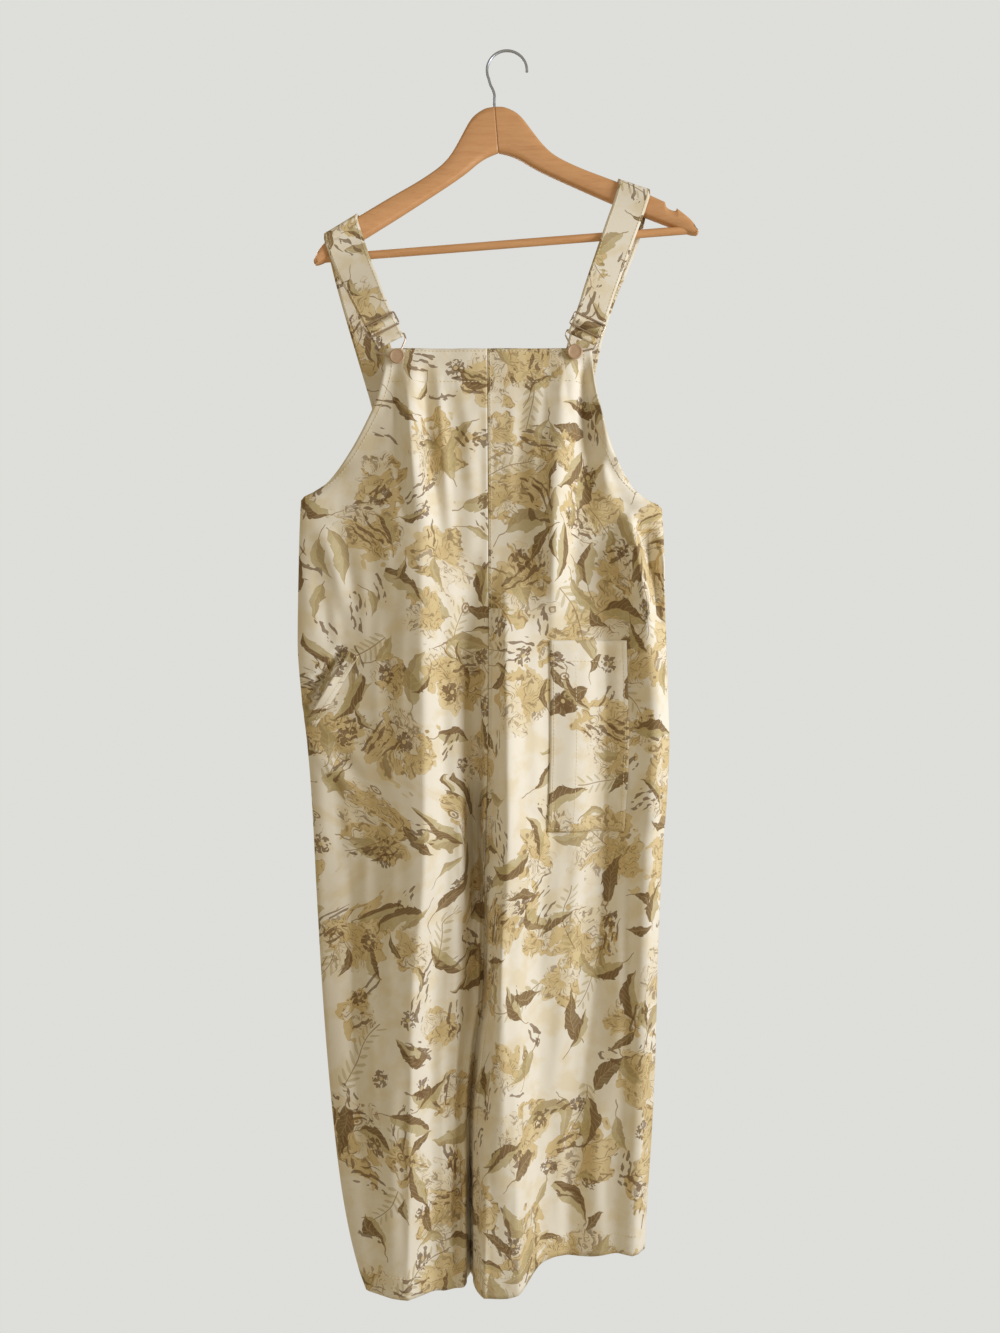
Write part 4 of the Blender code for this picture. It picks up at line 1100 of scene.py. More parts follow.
def print_colour(n, settings):
    """Colour of the floral print from the cloth's own UV map: the name of its last layer."""
    cell = cell_group()
    motifs = {"bloom": bloom_group(), "leaf": leaf_group(), "sprig": sprig_group(),
              "blossom": blossom_group(), "seed head": seed_group(), "strokes": strokes_group()}
    scale = 1000.0 / settings.print_scale
    n("map", "UVMap", uv_map="cloth")
    n("mm", "VectorMath.SCALE", "map", ("Scale", scale))
    n("drift", "TexNoise", "mm", ("Scale", 0.012), ("Detail", 1.0))
    n("drift off", "VectorMath.SUBTRACT", "drift:Color", (0.5, 0.5, 0.5))
    n("drift mm", "VectorMath.SCALE", "drift off", ("Scale", 26.0))
    n("place", "VectorMath.ADD", "mm", "drift mm")
    n("wash noise", "TexNoise", "mm", ("Scale", 0.035), ("Detail", 3.0))
    n("wash share", "MapRange", "wash noise:Fac", 0.47, 0.62, 0.0, 0.42)
    n("dapple", "TexNoise", "mm", ("Scale", 0.09), ("Detail", 3.0))
    n("dapple share", "MapRange", "dapple:Fac", 0.3, 0.7, 0.84, 1.0)
    n("layer 0", "Mix", "wash share", ("A", settings.ground), ("B", settings.petal), data_type="RGBA")
    tints = {"petal": settings.petal, "deep": settings.petal_deep, "olive": settings.olive,
             "umber": settings.umber, "stem": settings.stem}
    count = 0
    for number, (motif, size, turn, seed, jitter, filled, sizes) in enumerate(PRINT_LAYERS):
        tag = "%s %d" % (motif, number)
        n("cell " + tag, "Group", "place", size, turn, seed, jitter, node_tree=cell)
        shape = n(tag, "Group", "cell " + tag + ":Local", *sizes, node_tree=motifs[motif])
        n("on " + tag, "Math.LESS_THAN", "cell " + tag + ":Chance", filled)
        for output in shape.outputs:
            n(tag + " " + output.name, "Math.MULTIPLY", tag + ":" + output.name, "on " + tag)
        if motif == "bloom":
            n(tag + " Inner", "Math.MULTIPLY", tag + " Wash", tag + " Shade")
        elif motif == "leaf":
            n(tag + " darkness", "Math.MULTIPLY_ADD", tag + ":Half", 0.45, "cell " + tag + ":Tint")
            n(tag + " dark pick", "Math.GREATER_THAN", tag + " darkness", 0.82)
            n(tag + " Dark", "Math.MULTIPLY", tag + " Mask", tag + " dark pick")
            n(tag + " Shaded", "Math.MULTIPLY", tag + " Mask", tag + " Half")
        for mask, tint, strength in PRINT_INKS[motif]:
            n("strength %d" % count, "Math.MULTIPLY", tag + " " + mask, strength)
            n("patchy %d" % count, "Math.MULTIPLY", "strength %d" % count, "dapple share")
            n("layer %d" % (count + 1), "Mix", "patchy %d" % count, ("A", "layer %d:Result" % count),
              ("B", tints[tint]), data_type="RGBA")
            count += 1
    return "layer %d:Result" % count


def twill_bump(n):
    """Fine twill rib, drawn at 1.5 mm because the true 0.6 mm rib is too fine to show."""
    n("rib lean", "Mapping", "mm", ("Rotation", (0.0, 0.0, math.radians(62.0))))
    n("rib", "TexWave", "rib lean", ("Scale", 0.33), ("Distortion", 1.2), ("Detail", 1.0),
      ("Detail Scale", 0.6))
    n("slub", "TexNoise", "mm", ("Scale", 0.5), ("Detail", 3.0))
    n("rib mix", "Math.MULTIPLY_ADD", "slub:Fac", 0.8, "rib:Fac")
    n("relief", "Bump", ("Height", "rib mix"), ("Strength", 0.22), ("Distance", 0.0006))


def printed_twill():
    """Printed cotton twill, right side: matte cream cloth with a washed floral print."""
    settings = bpy.context.scene.overalls_twill
    mat, n = new_material("printed_cotton_twill")
    colour = print_colour(n, settings)
    twill_bump(n)
    n("cloth", "BsdfPrincipled", colour, ("Roughness", 0.88), ("Normal", "relief"),
      ("Sheen Weight", 0.14), ("Sheen Roughness", 0.5))
    n("out", "OutputMaterial", "cloth")
    return mat


def plain_twill():
    """The same twill's wrong side: undyed cream with only a breath of the print showing."""
    settings = bpy.context.scene.overalls_twill
    mat, n = new_material("cotton_twill_wrong_side")
    n("map", "UVMap", uv_map="cloth")
    n("mm", "VectorMath.SCALE", "map", ("Scale", 1000.0))
    n("through", "TexNoise", "mm", ("Scale", 0.03), ("Detail", 4.0))
    n("share", "MapRange", "through:Fac", 0.45, 0.7, 0.0, 0.45)
    n("tone", "Mix", "share", ("A", linear("#DCCBA4")), ("B", linear("#C2AA79")), data_type="RGBA")
    twill_bump(n)
    n("cloth", "BsdfPrincipled", "tone:Result", ("Roughness", 0.9), ("Normal", "relief"))
    n("out", "OutputMaterial", "cloth")
    return mat


def cotton_thread():
    """Spun cotton sewing thread: soft, slightly fuzzy cream."""
    colour = bpy.context.scene.overalls_fittings.thread_colour
    mat, n = new_material("cotton_sewing_thread")
    n("place", "TexCoord")
    n("fuzz", "TexNoise", "place:Object", ("Scale", 900.0), ("Detail", 2.0))
    n("relief", "Bump", ("Height", "fuzz:Fac"), ("Strength", 0.3), ("Distance", 0.0003))
    n("thread", "BsdfPrincipled", colour, ("Roughness", 0.8), ("Normal", "relief"))
    n("out", "OutputMaterial", "thread")
    return mat


def lacquered_wood(name, length_axis):
    """Clear-lacquered beech-like wood: long soft grain under a satin coat."""
    settings = bpy.context.scene.overalls_hanger
    mat, n = new_material(name)
    n("place", "TexCoord")
    n("along", "Mapping", "place:Object", ("Rotation", (0.0, length_axis, 0.0)),
      ("Scale", (14.0, 160.0, 160.0)))
    n("figure", "TexNoise", "along", ("Scale", 1.0), ("Detail", 5.0), ("Roughness", 0.6),
      ("Distortion", 0.6))
    n("pores place", "Mapping", "place:Object", ("Rotation", (0.0, length_axis, 0.0)),
      ("Scale", (60.0, 900.0, 900.0)))
    n("pores", "TexNoise", "pores place", ("Scale", 1.0), ("Detail", 2.0))
    n("cloud", "TexNoise", "place:Object", ("Scale", 22.0), ("Detail", 2.0))
    n("grain share", "MapRange", "figure:Fac", 0.36, 0.68, 0.0, 1.0)
    n("pore share", "MapRange", "pores:Fac", 0.56, 0.7, 0.0, 0.4)
    n("cloud share", "Math.MULTIPLY", "cloud:Fac", 0.3)
    n("share a", "Math.MULTIPLY_ADD", "grain share", 0.5, "pore share")
    n("share", "Math.ADD", "share a", "cloud share", use_clamp=True)
    n("tone", "Mix", "share", ("A", settings.wood), ("B", settings.grain), data_type="RGBA")
    n("relief", "Bump", ("Height", "figure:Fac"), ("Strength", 0.05), ("Distance", 0.0004))
    n("wood", "BsdfPrincipled", "tone:Result", ("Roughness", 0.42), ("Normal", "relief"),
      ("Coat Weight", 0.35), ("Coat Roughness", 0.25))
    n("out", "OutputMaterial", "wood")
    return mat


def plated_wire(name, colour, roughness):
    """Plated steel wire: clear metallic shine broken by faint drawing marks."""
    mat, n = new_material(name)
    n("place", "TexCoord")
    n("marks", "TexNoise", "place:Object", ("Scale", 260.0), ("Detail", 3.0))
    n("rough", "MapRange", "marks:Fac", 0.3, 0.7, roughness * 0.7, roughness * 1.4)
    n("relief", "Bump", ("Height", "marks:Fac"), ("Strength", 0.08), ("Distance", 0.0002))
    n("metal", "BsdfPrincipled", colour, ("Metallic", 1.0), ("Roughness", "rough"), ("Normal", "relief"))
    n("out", "OutputMaterial", "metal")
    return mat


def button_enamel():
    """Matte stove enamel on brass: even tan, a little rubbed on its rim."""
    colour = bpy.context.scene.overalls_fittings.button_colour
    mat, n = new_material("matte_enamelled_brass")
    n("place", "TexCoord")
    n("wear", "TexNoise", "place:Object", ("Scale", 420.0), ("Detail", 3.0))
    n("share", "MapRange", "wear:Fac", 0.45, 0.75, 0.0, 0.5)
    n("tone", "Mix", "share", ("A", colour), ("B", linear("#A98A6B")), data_type="RGBA")
    n("relief", "Bump", ("Height", "wear:Fac"), ("Strength", 0.15), ("Distance", 0.0003))
    n("enamel", "BsdfPrincipled", "tone:Result", ("Roughness", 0.5), ("Metallic", 0.25),
      ("Normal", "relief"))
    n("out", "OutputMaterial", "enamel")
    return mat


def shared(name, make):
    """A material by name, made the first time it is asked for."""
    return bpy.data.materials.get(name) or make()


def cloth_materials():
    return [shared("printed_cotton_twill", printed_twill), shared("cotton_twill_wrong_side", plain_twill)]


# Operators.

PANELS = {
    "front_left": (LEFT, True, 0.0, (0.30, 1.09), 0.245),
    "front_right": (RIGHT, True, 310.0, (0.30, 1.09), 0.285),
    "back_left": (LEFT, False, 655.0, (0.29, 1.06), 0.255),
    "back_right": (RIGHT, False, 940.0, (0.29, 1.06), 0.262),
}


class OVERALLS_OT_body(bpy.types.Operator):
    """Lays the four body panels over their solids, from the bib to the hems"""

    bl_idname = "overalls.body"
    bl_label = "Body Panels"

    def execute(self, context):
        settings = context.scene.overalls_twill
        columns, rows = settings.across, settings.down
        for name, (side, front, shift, flat, area) in PANELS.items():
            top = BIB_TOP if front else BACK_TOP
            forms = [row_form(side, front, top + (HEM - top) * row / rows) for row in range(rows + 1)]

            def place(column, row):
                return row_point(forms[row], column / columns, 1)

            work = formed_grid(columns, rows, place)
            move_pattern(work, side, shift * MM, 0.0)
            face_towards(work, -1 if front else 1)
            obj = add_mesh_object(name + "_twill", work, cloth_materials())
            thicken(obj, settings.thickness, -1.0, True)
            finish_piece(obj, "printed_cotton", name)
        return {"FINISHED"}


def mouth_point(part, wide, lift, share):
    """Point on the hip pocket's strip and the way out there.

    part runs down the mouth from 0 to 1, wide is the distance off its line, and
    share is how much of the mouth's gape that point takes.
    """
    x = MOUTH_TOP[0] + MOUTH_RUN.x * part + MOUTH_AWAY.x * wide
    z = MOUTH_TOP[1] + MOUTH_RUN.z * part + MOUTH_AWAY.z * wide
    here, out = surface(LEFT, True, x, z, lift)
    gape = MOUTH_GAPE * math.sin(math.pi * ramp(part, 0.05, 0.95)) * share
    return here - Vector((0, gape, 0)), out


class OVERALLS_OT_pockets(bpy.types.Operator):
    """Sets the patch pocket and the turned mouth of the hip pocket on the front"""

    bl_idname = "overalls.pockets"
    bl_label = "Pockets"

    def execute(self, context):
        columns, rows = 30, 60
        low, high = POCKET_ACROSS
        top, bottom = POCKET_HEIGHT

        def patch(column, row):
            height = top + (bottom - top) * row / rows
            across = low + (high - low) * column / columns
            form = row_form(RIGHT, True, height)
            here = row_point(form, across, 1)
            beside = row_point(form, across + 0.005, 1)
            above = row_point(row_form(RIGHT, True, height + 3), across, 1)
            out = (beside - here).cross(above - here).normalized()
            if out.y > 0:
                out = -out
            edge = min(column, columns - column, row, rows - row)
            gape = 1.8 * math.sin(math.pi * column / columns) * ramp(row / rows, 0.1, 0.0)
            puff = 0.5 * ramp(edge, 0, 3)
            return here + out * (0.5 + gape + puff)

        work = formed_grid(columns, rows, patch)
        move_pattern(work, 1.0, *PATCH_PRINT)
        face_towards(work, -1)
        obj = add_mesh_object("pocket_patch_right_twill", work, cloth_materials())
        thicken(obj, POCKET_CLOTH, 1.0, True)
        finish_piece(obj, "printed_cotton", "pocket_patch_right")

        columns, rows = 6, 40

        def mouth(column, row):
            wide = MOUTH_WIDTH * column / columns
            return mouth_point(row / rows, wide, 1.0, 1 - column / columns)[0]

        work = formed_grid(columns, rows, mouth)
        move_pattern(work, 1.0, *MOUTH_PRINT)
        face_towards(work, -1)
        obj = add_mesh_object("pocket_mouth_left_twill", work, cloth_materials())
        thicken(obj, POCKET_CLOTH, 1.0, True)
        finish_piece(obj, "printed_cotton", "pocket_mouth_left")
        return {"FINISHED"}


def fitting_frame(side):
    """Slider point, direction down the strap, direction across, bar distance."""
    sx, sz = FITTINGS[side]["slider"]
    bx, bz = FITTINGS[side]["button"]
    reach = math.hypot(bx - sx, bz - sz)
    down = Vector(((bx - sx) / reach, 0, (bz - sz) / reach))
    across = Vector((-down.z, 0, down.x))
    return Vector((sx, 0, sz)), down, across, reach - FITTINGS[side]["bar"]


def strap_rows(side):
    """Centre, width line and half width all along a strap."""
    rows = []
    for x, y, z, half, slope, lean in smooth_line(STRAP_ROWS[side], 6):
        angle = math.radians(slope)
        line = Vector((math.cos(angle), lean, math.sin(angle))).normalized()
        rows.append((Vector((x, y, z)), line, half))
    start, down, across, bar_at = fitting_frame(side)

    def put(along, out, half):
        rows.append((start + down * along + Vector((0, STRAP_FRONT_Y - out, 0)), across, half))

    put(-12.0, 0.1, 17.4)
    for step in range(-10, 11):
        along = step / 10 * SLIDER_PITCH
        put(along, 0.1 + STRAP_HUMP * (0.5 + 0.5 * math.cos(math.pi * along / SLIDER_PITCH)), 17.2)
    if bar_at > 15:
        put(12.5, 0.1, 17.0)
    for step in range(0, 13):
        turn = math.pi * step / 12
        put(bar_at + LOOP_RADIUS * math.sin(turn), 0.1 - LOOP_RADIUS + LOOP_RADIUS * math.cos(turn), 17.0)
    put(bar_at - 5.0, 0.1 - 2 * LOOP_RADIUS, 17.0)
    put(bar_at - 9.0, 0.1 - 2 * LOOP_RADIUS, 17.0)
    return rows


class OVERALLS_OT_straps(bpy.types.Operator):
    """Lays the shoulder straps over the hanger and through the sliders"""

    bl_idname = "overalls.straps"
    bl_label = "Shoulder Straps"

    def execute(self, context):
        settings = context.scene.overalls_fittings
        columns = 12
        for side, name, shift in ((LEFT, "strap_left", 545), (RIGHT, "strap_right", 930)):
            rows = strap_rows(side)
            runs = [0.0]
            for (before, _l, _h), (after, _m, _i) in zip(rows, rows[1:]):
                runs.append(runs[-1] + (after - before).length)

            def place(column, row):
                centre, line, half = rows[row]
                share = 2 * column / columns - 1
                return centre + line * half * share

            def pattern(column, row):
                half = rows[row][2]
                return (half * (2 * column / columns - 1) + shift, runs[row] + shift / 2)

            work = formed_grid(columns, len(rows) - 1, place, pattern)
            face_towards(work, -1)
            lines = []
            for share in (-0.86, 0.86):
                for sign in (-1, 1):
                    line = []
                    for at in range(1, len(rows) - 1):
                        centre, cross, half = rows[at]
                        tangent = rows[at + 1][0] - rows[at - 1][0]
                        out = cross.cross(tangent).normalized() * sign
                        line.append((centre + cross * half * share + out * 1.05, out))
                    lines.append(line)
            obj = add_mesh_object(name + "_twill", work, cloth_materials()[:1])
            thicken(obj, settings.strap_thickness, 0.0, False)
            finish_piece(obj, "printed_cotton", name)
            thread = add_stitches(name + "_stitches", lines, shared("cotton_sewing_thread", cotton_thread))
            finish_piece(thread, "printed_cotton")
        return {"FINISHED"}


def rounded_loop(corners, steps):
    """Loop of points with each corner (s, t, radius) rounded."""
    loop = []
    count = len(corners)
    for i, (s, t, radius) in enumerate(corners):
        here = Vector((s, t, 0))
        back = (Vector((corners[i - 1][0], corners[i - 1][1], 0)) - here).normalized()
        ahead = (Vector((corners[(i + 1) % count][0], corners[(i + 1) % count][1], 0)) - here).normalized()
        half = math.acos(max(-1.0, min(1.0, back.dot(ahead)))) / 2
        reach = radius / math.tan(half)
        first = here + back * reach
        last = here + ahead * reach
        for step in range(steps + 1):
            w = step / steps
            loop.append((1 - w) ** 2 * first + 2 * w * (1 - w) * here + w * w * last)
    return loop


def clip_corners(drop):
    """Corners of a clip's wire: the bar, then its shoulders, waist and eye."""
    half = [(19.0, -drop, 1.9), (18.0, 7.0 - drop, 4.0), (4.6, -2.6, 9.0), (4.0, 4.3, 3.2)]
    mirrored = [(-s, t, radius) for s, t, radius in half]
    return mirrored[:1] + half + mirrored[:0:-1]


class OVERALLS_OT_fittings(bpy.types.Operator):
    """Bends the sliders and clips and turns the buttons"""

    bl_idname = "overalls.fittings"
    bl_label = "Sliders, Clips and Buttons"

    def execute(self, context):
        settings = context.scene.overalls_fittings
        wire = plated_wire("copper_tinted_plated_wire", settings.wire_colour, 0.34)
        for side, name in ((LEFT, "left"), (RIGHT, "right")):
            start, down, across, bar_at = fitting_frame(side)
            drop = FITTINGS[side]["bar"]
            middle = start + Vector((0, STRAP_FRONT_Y - SLIDER_STANDS, 0))
            corners = [(s * SLIDER_HALF, t * SLIDER_PITCH, SLIDER_ROUND)
                       for s, t in ((-1, -1), (1, -1), (1, 1), (-1, 1))]
            loop = [middle + across * p.x + down * p.y for p in rounded_loop(corners, 6)]
            bar = [middle - across * SLIDER_HALF, middle + across * SLIDER_HALF]
            slider = add_wire("slider_%s_wire" % name, [(loop, True), (bar, False)], settings.wire, wire)
            finish_piece(slider, "fitting_metal", "slider_" + name)
            button = start + down * (bar_at + drop) + Vector((0, CLIP_Y, 0))
            loop = [button + across * p.x + down * p.y for p in rounded_loop(clip_corners(drop), 7)]
            clip = add_wire("clip_%s_wire" % name, [(loop, True)], settings.wire, wire)
            finish_piece(clip, "fitting_metal", "clip_" + name)
            self.add_button(side, "button_" + name)
        return {"FINISHED"}

    def add_button(self, side, name):
        bx, bz = FITTINGS[side]["button"]
        work = bmesh.new()
        verts = [work.verts.new(((bx + r) * MM, (BIB_Y - out) * MM, bz * MM))
                 for r, out in BUTTON_PROFILE]
        edges = [work.edges.new(pair) for pair in zip(verts, verts[1:])]
        bmesh.ops.spin(work, geom=verts + edges, cent=(bx * MM, BIB_Y * MM, bz * MM), axis=(0, 1, 0),
                       angle=2 * math.pi, steps=40, use_merge=True)
        bmesh.ops.remove_doubles(work, verts=work.verts, dist=1e-6)
        bmesh.ops.recalc_face_normals(work, faces=work.faces)
        obj = add_mesh_object(name + "_enamel", work, [shared("matte_enamelled_brass", button_enamel)])
        finish_piece(obj, "button_metal", name)


def hanger_point(along, up, y):
    x = HANGER_X + along * math.cos(HANGER_TILT) - up * math.sin(HANGER_TILT)
    z = HANGER_Z + along * math.sin(HANGER_TILT) + up * math.cos(HANGER_TILT)
    return Vector((x, y, z))


def arm_depth(along):
    return -ARM_FORWARD * (along / HANGER_HALF) ** 2


def arm_stations():
    """Arm outline with smooth steps between its rows, kept sharp at the notch."""
    before = [row for row in ARM_OUTLINE if row[0] <= NOTCH[0]]
    notch = [row for row in ARM_OUTLINE if NOTCH[0] < row[0] < NOTCH[1]]
    after = [row for row in ARM_OUTLINE if row[0] >= NOTCH[1]]
    tip = [(223.2, 2.4, -2.4)]
    curve = smooth_line(before, 5)
    for _pass in range(14):
        middles = [tuple((a + 2 * b + c) / 4 for a, b, c in zip(*three))
                   for three in zip(curve, curve[1:], curve[2:])]
        curve = curve[:1] + middles + curve[-1:]
    return curve + notch + smooth_line(after, 5) + tip


class OVERALLS_OT_hanger(bpy.types.Operator):
    """Shapes the two hanger arms, their bar and the steel hook"""

    bl_idname = "overalls.hanger"
    bl_label = "Hanger"

    def execute(self, context):
        settings = context.scene.overalls_hanger
        stations = arm_stations()
        half = settings.arm_thickness / MM / 2
        columns = 32
        for side, name in ((LEFT, "hanger_arm_left"), (RIGHT, "hanger_arm_right")):

            def place(column, row):
                along, top, bottom = stations[row]
                turn = 2 * math.pi * (column % columns) / columns
                tall = (top - bottom) / 2
                soft = min(ARM_ROUND, tall * 0.95)
                dy, dz = math.cos(turn), math.sin(turn)
                y = math.copysign(min(half, abs(dy) * half * 1.25), dy)
                corner = soft / tall
                near_face = 1 - corner * (1 - min(1.0, abs(dz) * 1.35))
                z = math.copysign(near_face if abs(dz) > 0.2 else abs(dz) * 3.6, dz)
                z = max(-1.0, min(1.0, z))
                y *= 1 - 0.5 * ramp(abs(z), 1 - corner, 1.0) ** 2
                return hanger_point(side * along, (top + bottom) / 2 + z * tall, arm_depth(along) + y)

            work = formed_tube(columns, len(stations) - 1, place)
            angle = -(HANGER_TILT + side * math.radians(-33.0))
            wood = lacquered_wood("lacquered_beech_" + ("left" if side == LEFT else "right"), angle)
            obj = add_mesh_object(name + "_wood", work, [wood])
            finish_piece(obj, "hanger_wood", name)
        bar_y = arm_depth(BAR_HALF)
        ends = [hanger_point(-BAR_HALF, BAR_UP, bar_y), hanger_point(BAR_HALF, BAR_UP, bar_y)]
        bar_wood = lacquered_wood("lacquered_beech_bar", -HANGER_TILT)
        bar = add_wire("hanger_bar_wood", [(ends, False)], settings.bar_radius, bar_wood, 8)
        finish_piece(bar, "hanger_wood", "hanger_bar")
        line = []
        for step in range(49):
            turn = math.radians(HOOK_START + HOOK_SWEEP * step / 48)
            line.append((HOOK_CENTRE[0] + HOOK_RADIUS * math.cos(turn), 0.0,
                         HOOK_CENTRE[1] + HOOK_RADIUS * math.sin(turn)))
        neck = [line[-1], *HOOK_NECK, tuple(hanger_point(0, STEM_UP + 4, 0)),
                tuple(hanger_point(0, STEM_UP - STEM_SUNK, 0))]
        line = line[:-1] + smooth_line(neck, 6)
        steel = plated_wire("bright_plated_steel", linear("#B4BBC6"), 0.36)
        hook = add_wire("hanger_hook_steel", [(line, False)], settings.wire, steel, 8)
        finish_piece(hook, "hook_steel", "hanger_hook")
        return {"FINISHED"}


def seam_line(side, front, spots, lift=0.25):
    return [surface(side, front, x, z, lift) for x, z in spots]


def steps_between(start, end, step):
    count = max(2, int(abs(end - start) / step))
    return [start + (end - start) * i / count for i in range(count + 1)]


class OVERALLS_OT_stitching(bpy.types.Operator):
    """Sews the visible topstitching along edges, seams and pockets"""

    bl_idname = "overalls.stitching"
    bl_label = "Topstitching"

    def execute(self, context):
        thread = shared("cotton_sewing_thread", cotton_thread)
        for name, (side, front, _shift, _flat, _area) in PANELS.items():
            top = BIB_TOP if front else BACK_TOP
            inner = read_line(CENTRE_LINE, top)
            outer = read_line(OUTER_LINE[side], top)
            lines = []
            for drop in (3.0, BIB_HEM if front else BACK_HEM):
                height = top - drop
                edge = read_line(OUTER_LINE[side], height) - side * (8.0 if front else 13.0)
                spots = [(x, height) for x in steps_between(inner + side * 2, edge, 6)]
                lines.append(seam_line(side, front, spots))
            inset = 9.0 if front else 14.0
            heights = steps_between(top - 3, UNDERARM[side] + 12, 5)
            spots = [(read_line(OUTER_LINE[side], z) - side * inset, z + 1.5) for z in heights]
            lines.append(seam_line(side, front, spots))
            heights = steps_between(top - 3, -930.0, 7)
            offset = 3.4
            spots = [(read_line(CENTRE_LINE, z) + side * offset, z) for z in heights]
            if (side == RIGHT) == front:
                lines.append(seam_line(side, front, spots))
            x0 = read_line(CENTRE_LINE, HEM + 30) + side * 8
            x1 = read_line(OUTER_LINE[side], HEM + 30) - side * 12
            spots = [(x, HEM + LEG_HEM) for x in steps_between(x0, x1, 5)]
            lines.append(seam_line(side, front, spots))
            if side == RIGHT and front:
                spots = [(read_line(CENTRE_LINE, z) + 9.0, z) for z in steps_between(-1100.0, HEM + 8, 7)]
                lines.append(seam_line(side, front, spots))
            obj = add_stitches(name + "_stitches", lines, thread)
            finish_piece(obj, "printed_cotton")
        self.sew_pockets(thread)
        return {"FINISHED"}

    def sew_pockets(self, thread):
        low, high = POCKET_ACROSS
        top, bottom = POCKET_HEIGHT

        def spot(across, height):
            form = row_form(RIGHT, True, height)
            x = row_point(form, across, 0).x
            return surface(RIGHT, True, x, height, 2.1)

        inset = 0.02
        lines = []
        heights = steps_between(top - 4, bottom + 4, 6)
        lines.append([spot(low + inset, z) for z in heights])
        lines.append([spot(high - inset, z) for z in heights])
        for z in (bottom + 4, top - 24):
            lines.append([spot(low + inset + (high - low - 2 * inset) * i / 20, z) for i in range(21)])
        pen = low + (high - low) * 0.33
        lines.append([spot(pen, z) for z in heights])
        obj = add_stitches("pocket_patch_stitches", lines, thread)
        finish_piece(obj, "printed_cotton")
        line = [mouth_point(step / 30, 9, 2.4, 0.31) for step in range(31)]
        obj = add_stitches("pocket_mouth_stitches", [line], thread)
        finish_piece(obj, "printed_cotton")


def pale_floor(colour):
    """Matte painted board: an even pale tone with a hint of grit."""
    mat, n = new_material("matte_pale_floor")
    n("place", "TexCoord")
    n("grit", "TexNoise", "place:Object", ("Scale", 60.0))
    n("relief", "Bump", ("Height", "grit:Fac"), ("Strength", 0.05))
    n("paint", "BsdfPrincipled", tuple(colour), ("Roughness", 0.9), ("Normal", "relief"))
    n("out", "OutputMaterial", "paint")
    return mat


# Stage, in metres, with the camera in mm; BACK_LIGHT is a share of the light in front.
SENSOR_HEIGHT = 36.0
LENS = 34.4
LIGHT_AIM = Vector((0.0, 0.0, -0.75))
BACK_LIGHT = 4.4
FLOOR_RADIUS = 0.6
FLOOR_HEIGHT = -1.9


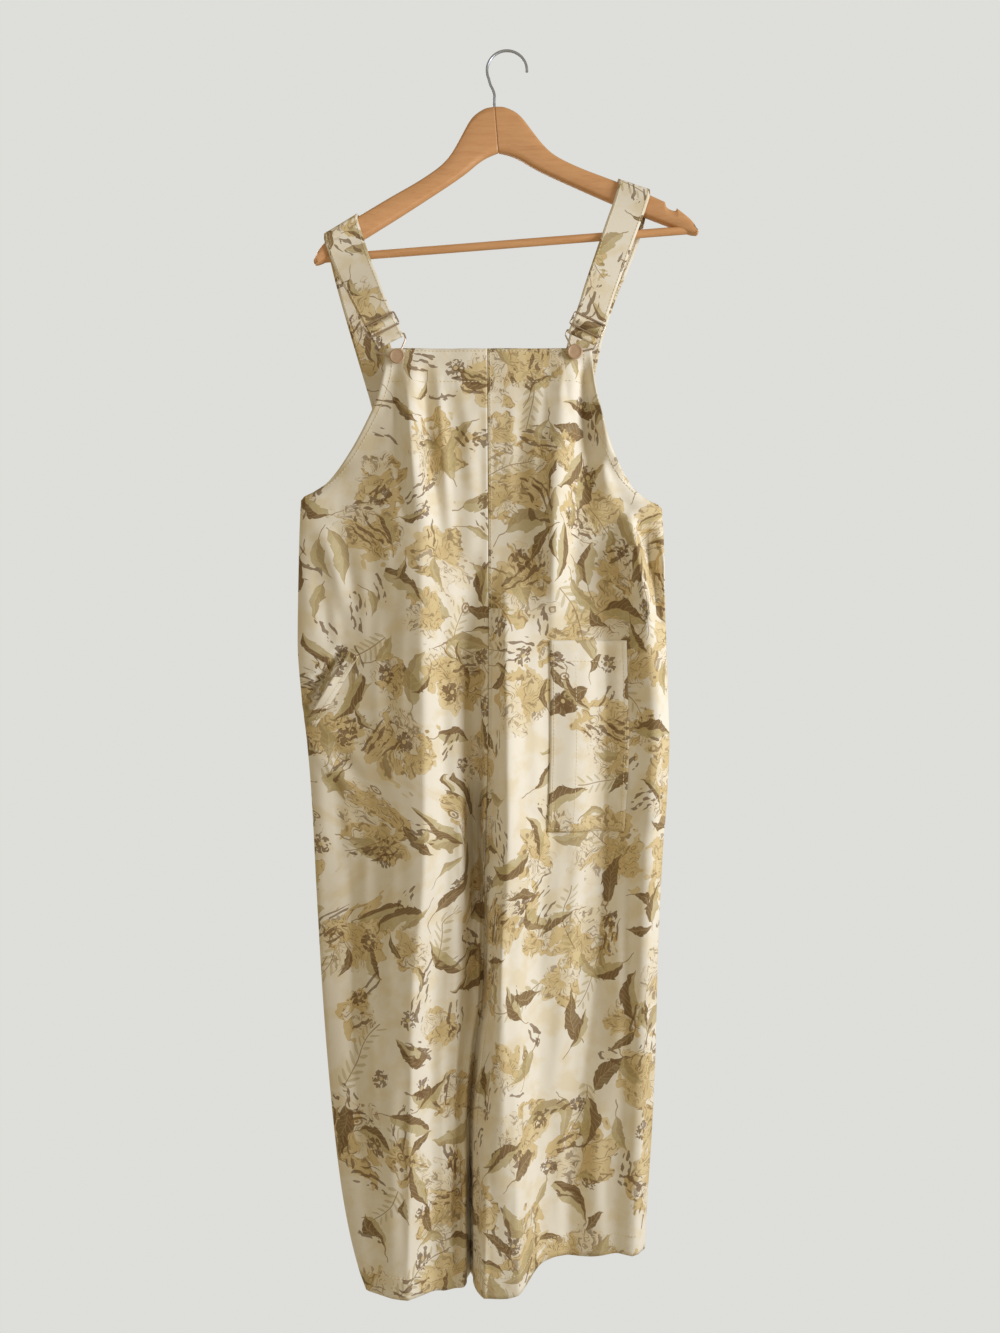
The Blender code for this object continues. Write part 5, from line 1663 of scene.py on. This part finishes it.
class OVERALLS_OT_stage(bpy.types.Operator):
    """Sets the level camera, soft studio lights and the pale floor"""

    bl_idname = "overalls.stage"
    bl_label = "Stage"

    def execute(self, context):
        scene = context.scene
        settings = scene.overalls_stage
        lens = bpy.data.cameras.new("camera")
        lens.sensor_fit = "VERTICAL"
        lens.sensor_height = SENSOR_HEIGHT
        lens.lens = LENS
        camera = bpy.data.objects.new("camera", lens)
        camera.location = (0.0, -settings.distance, settings.height)
        camera.rotation_euler = (math.pi / 2, 0.0, 0.0)
        scene.collection.objects.link(camera)
        scene.camera = camera
        lights = [
            ("key light", (1.9, -1.0, -0.35), 0.9, settings.key, "#EFF4FF"),
            ("fill light", (-0.7, -2.2, 0.3), 2.0, settings.fill, "#EEF2FF"),
            ("back light", (-0.9, 1.9, 0.2), 1.6, settings.fill * BACK_LIGHT, "#FFFFFF"),
        ]
        for name, place, size, power, code in lights:
            lamp = bpy.data.lights.new(name, "AREA")
            lamp.size = size
            lamp.energy = power
            lamp.color = linear(code)[:3]
            obj = bpy.data.objects.new(name, lamp)
            obj.location = place
            obj.rotation_euler = (LIGHT_AIM - Vector(place)).to_track_quat("-Z", "Y").to_euler()
            scene.collection.objects.link(obj)
        world = bpy.data.worlds.new("pale room")
        world.use_nodes = True
        world.node_tree.nodes.clear()
        n = partial(add_node, world.node_tree, {})
        n("ray", "LightPath")
        n("seen", "Background", tuple(settings.pale), 1.0)
        n("light", "Background", tuple(settings.warm), settings.room)
        n("both", "MixShader", "ray:Is Camera Ray", "light", "seen")
        n("out", "OutputWorld", "both")
        scene.world = world
        work = bmesh.new()
        bmesh.ops.create_circle(work, cap_ends=True, segments=96, radius=FLOOR_RADIUS)
        bmesh.ops.translate(work, verts=work.verts, vec=(0.0, 0.0, FLOOR_HEIGHT))
        floor = add_mesh_object("floor", work, [pale_floor(settings.pale)], False)
        scene.view_settings.view_transform = "Standard"
        return {"FINISHED"}


STEPS = ["body", "pockets", "straps", "fittings", "hanger", "stitching", "stage"]


class OVERALLS_PT_panel(bpy.types.Panel):
    """Lists the overalls' operators"""

    bl_idname = "OVERALLS_PT_panel"
    bl_label = "Overalls on a Hanger"
    bl_space_type = "VIEW_3D"
    bl_region_type = "UI"
    bl_category = "Overalls"

    def draw(self, context):
        for step in STEPS:
            self.layout.operator("overalls." + step)
        for group in ("overalls_twill", "overalls_fittings", "overalls_hanger", "overalls_stage"):
            settings = getattr(context.scene, group)
            for name in settings.__annotations__:
                self.layout.prop(settings, name)


CLASSES = (
    TwillSettings, FittingSettings, HangerSettings, StageSettings,
    OVERALLS_OT_body, OVERALLS_OT_pockets, OVERALLS_OT_straps, OVERALLS_OT_fittings,
    OVERALLS_OT_hanger, OVERALLS_OT_stitching, OVERALLS_OT_stage, OVERALLS_PT_panel,
)
GROUPS = {
    "overalls_twill": TwillSettings, "overalls_fittings": FittingSettings,
    "overalls_hanger": HangerSettings, "overalls_stage": StageSettings,
}


def register():
    for cls in CLASSES:
        bpy.utils.register_class(cls)
    for name, group in GROUPS.items():
        setattr(bpy.types.Scene, name, PointerProperty(type=group))


def unregister():
    for name in GROUPS:
        delattr(bpy.types.Scene, name)
    for cls in reversed(CLASSES):
        bpy.utils.unregister_class(cls)


def main():
    register()
    for step in STEPS:
        if getattr(bpy.ops.overalls, step)() != {"FINISHED"}:
            raise RuntimeError("the step %s did not finish" % step)


if __name__ == "__main__":
    main()
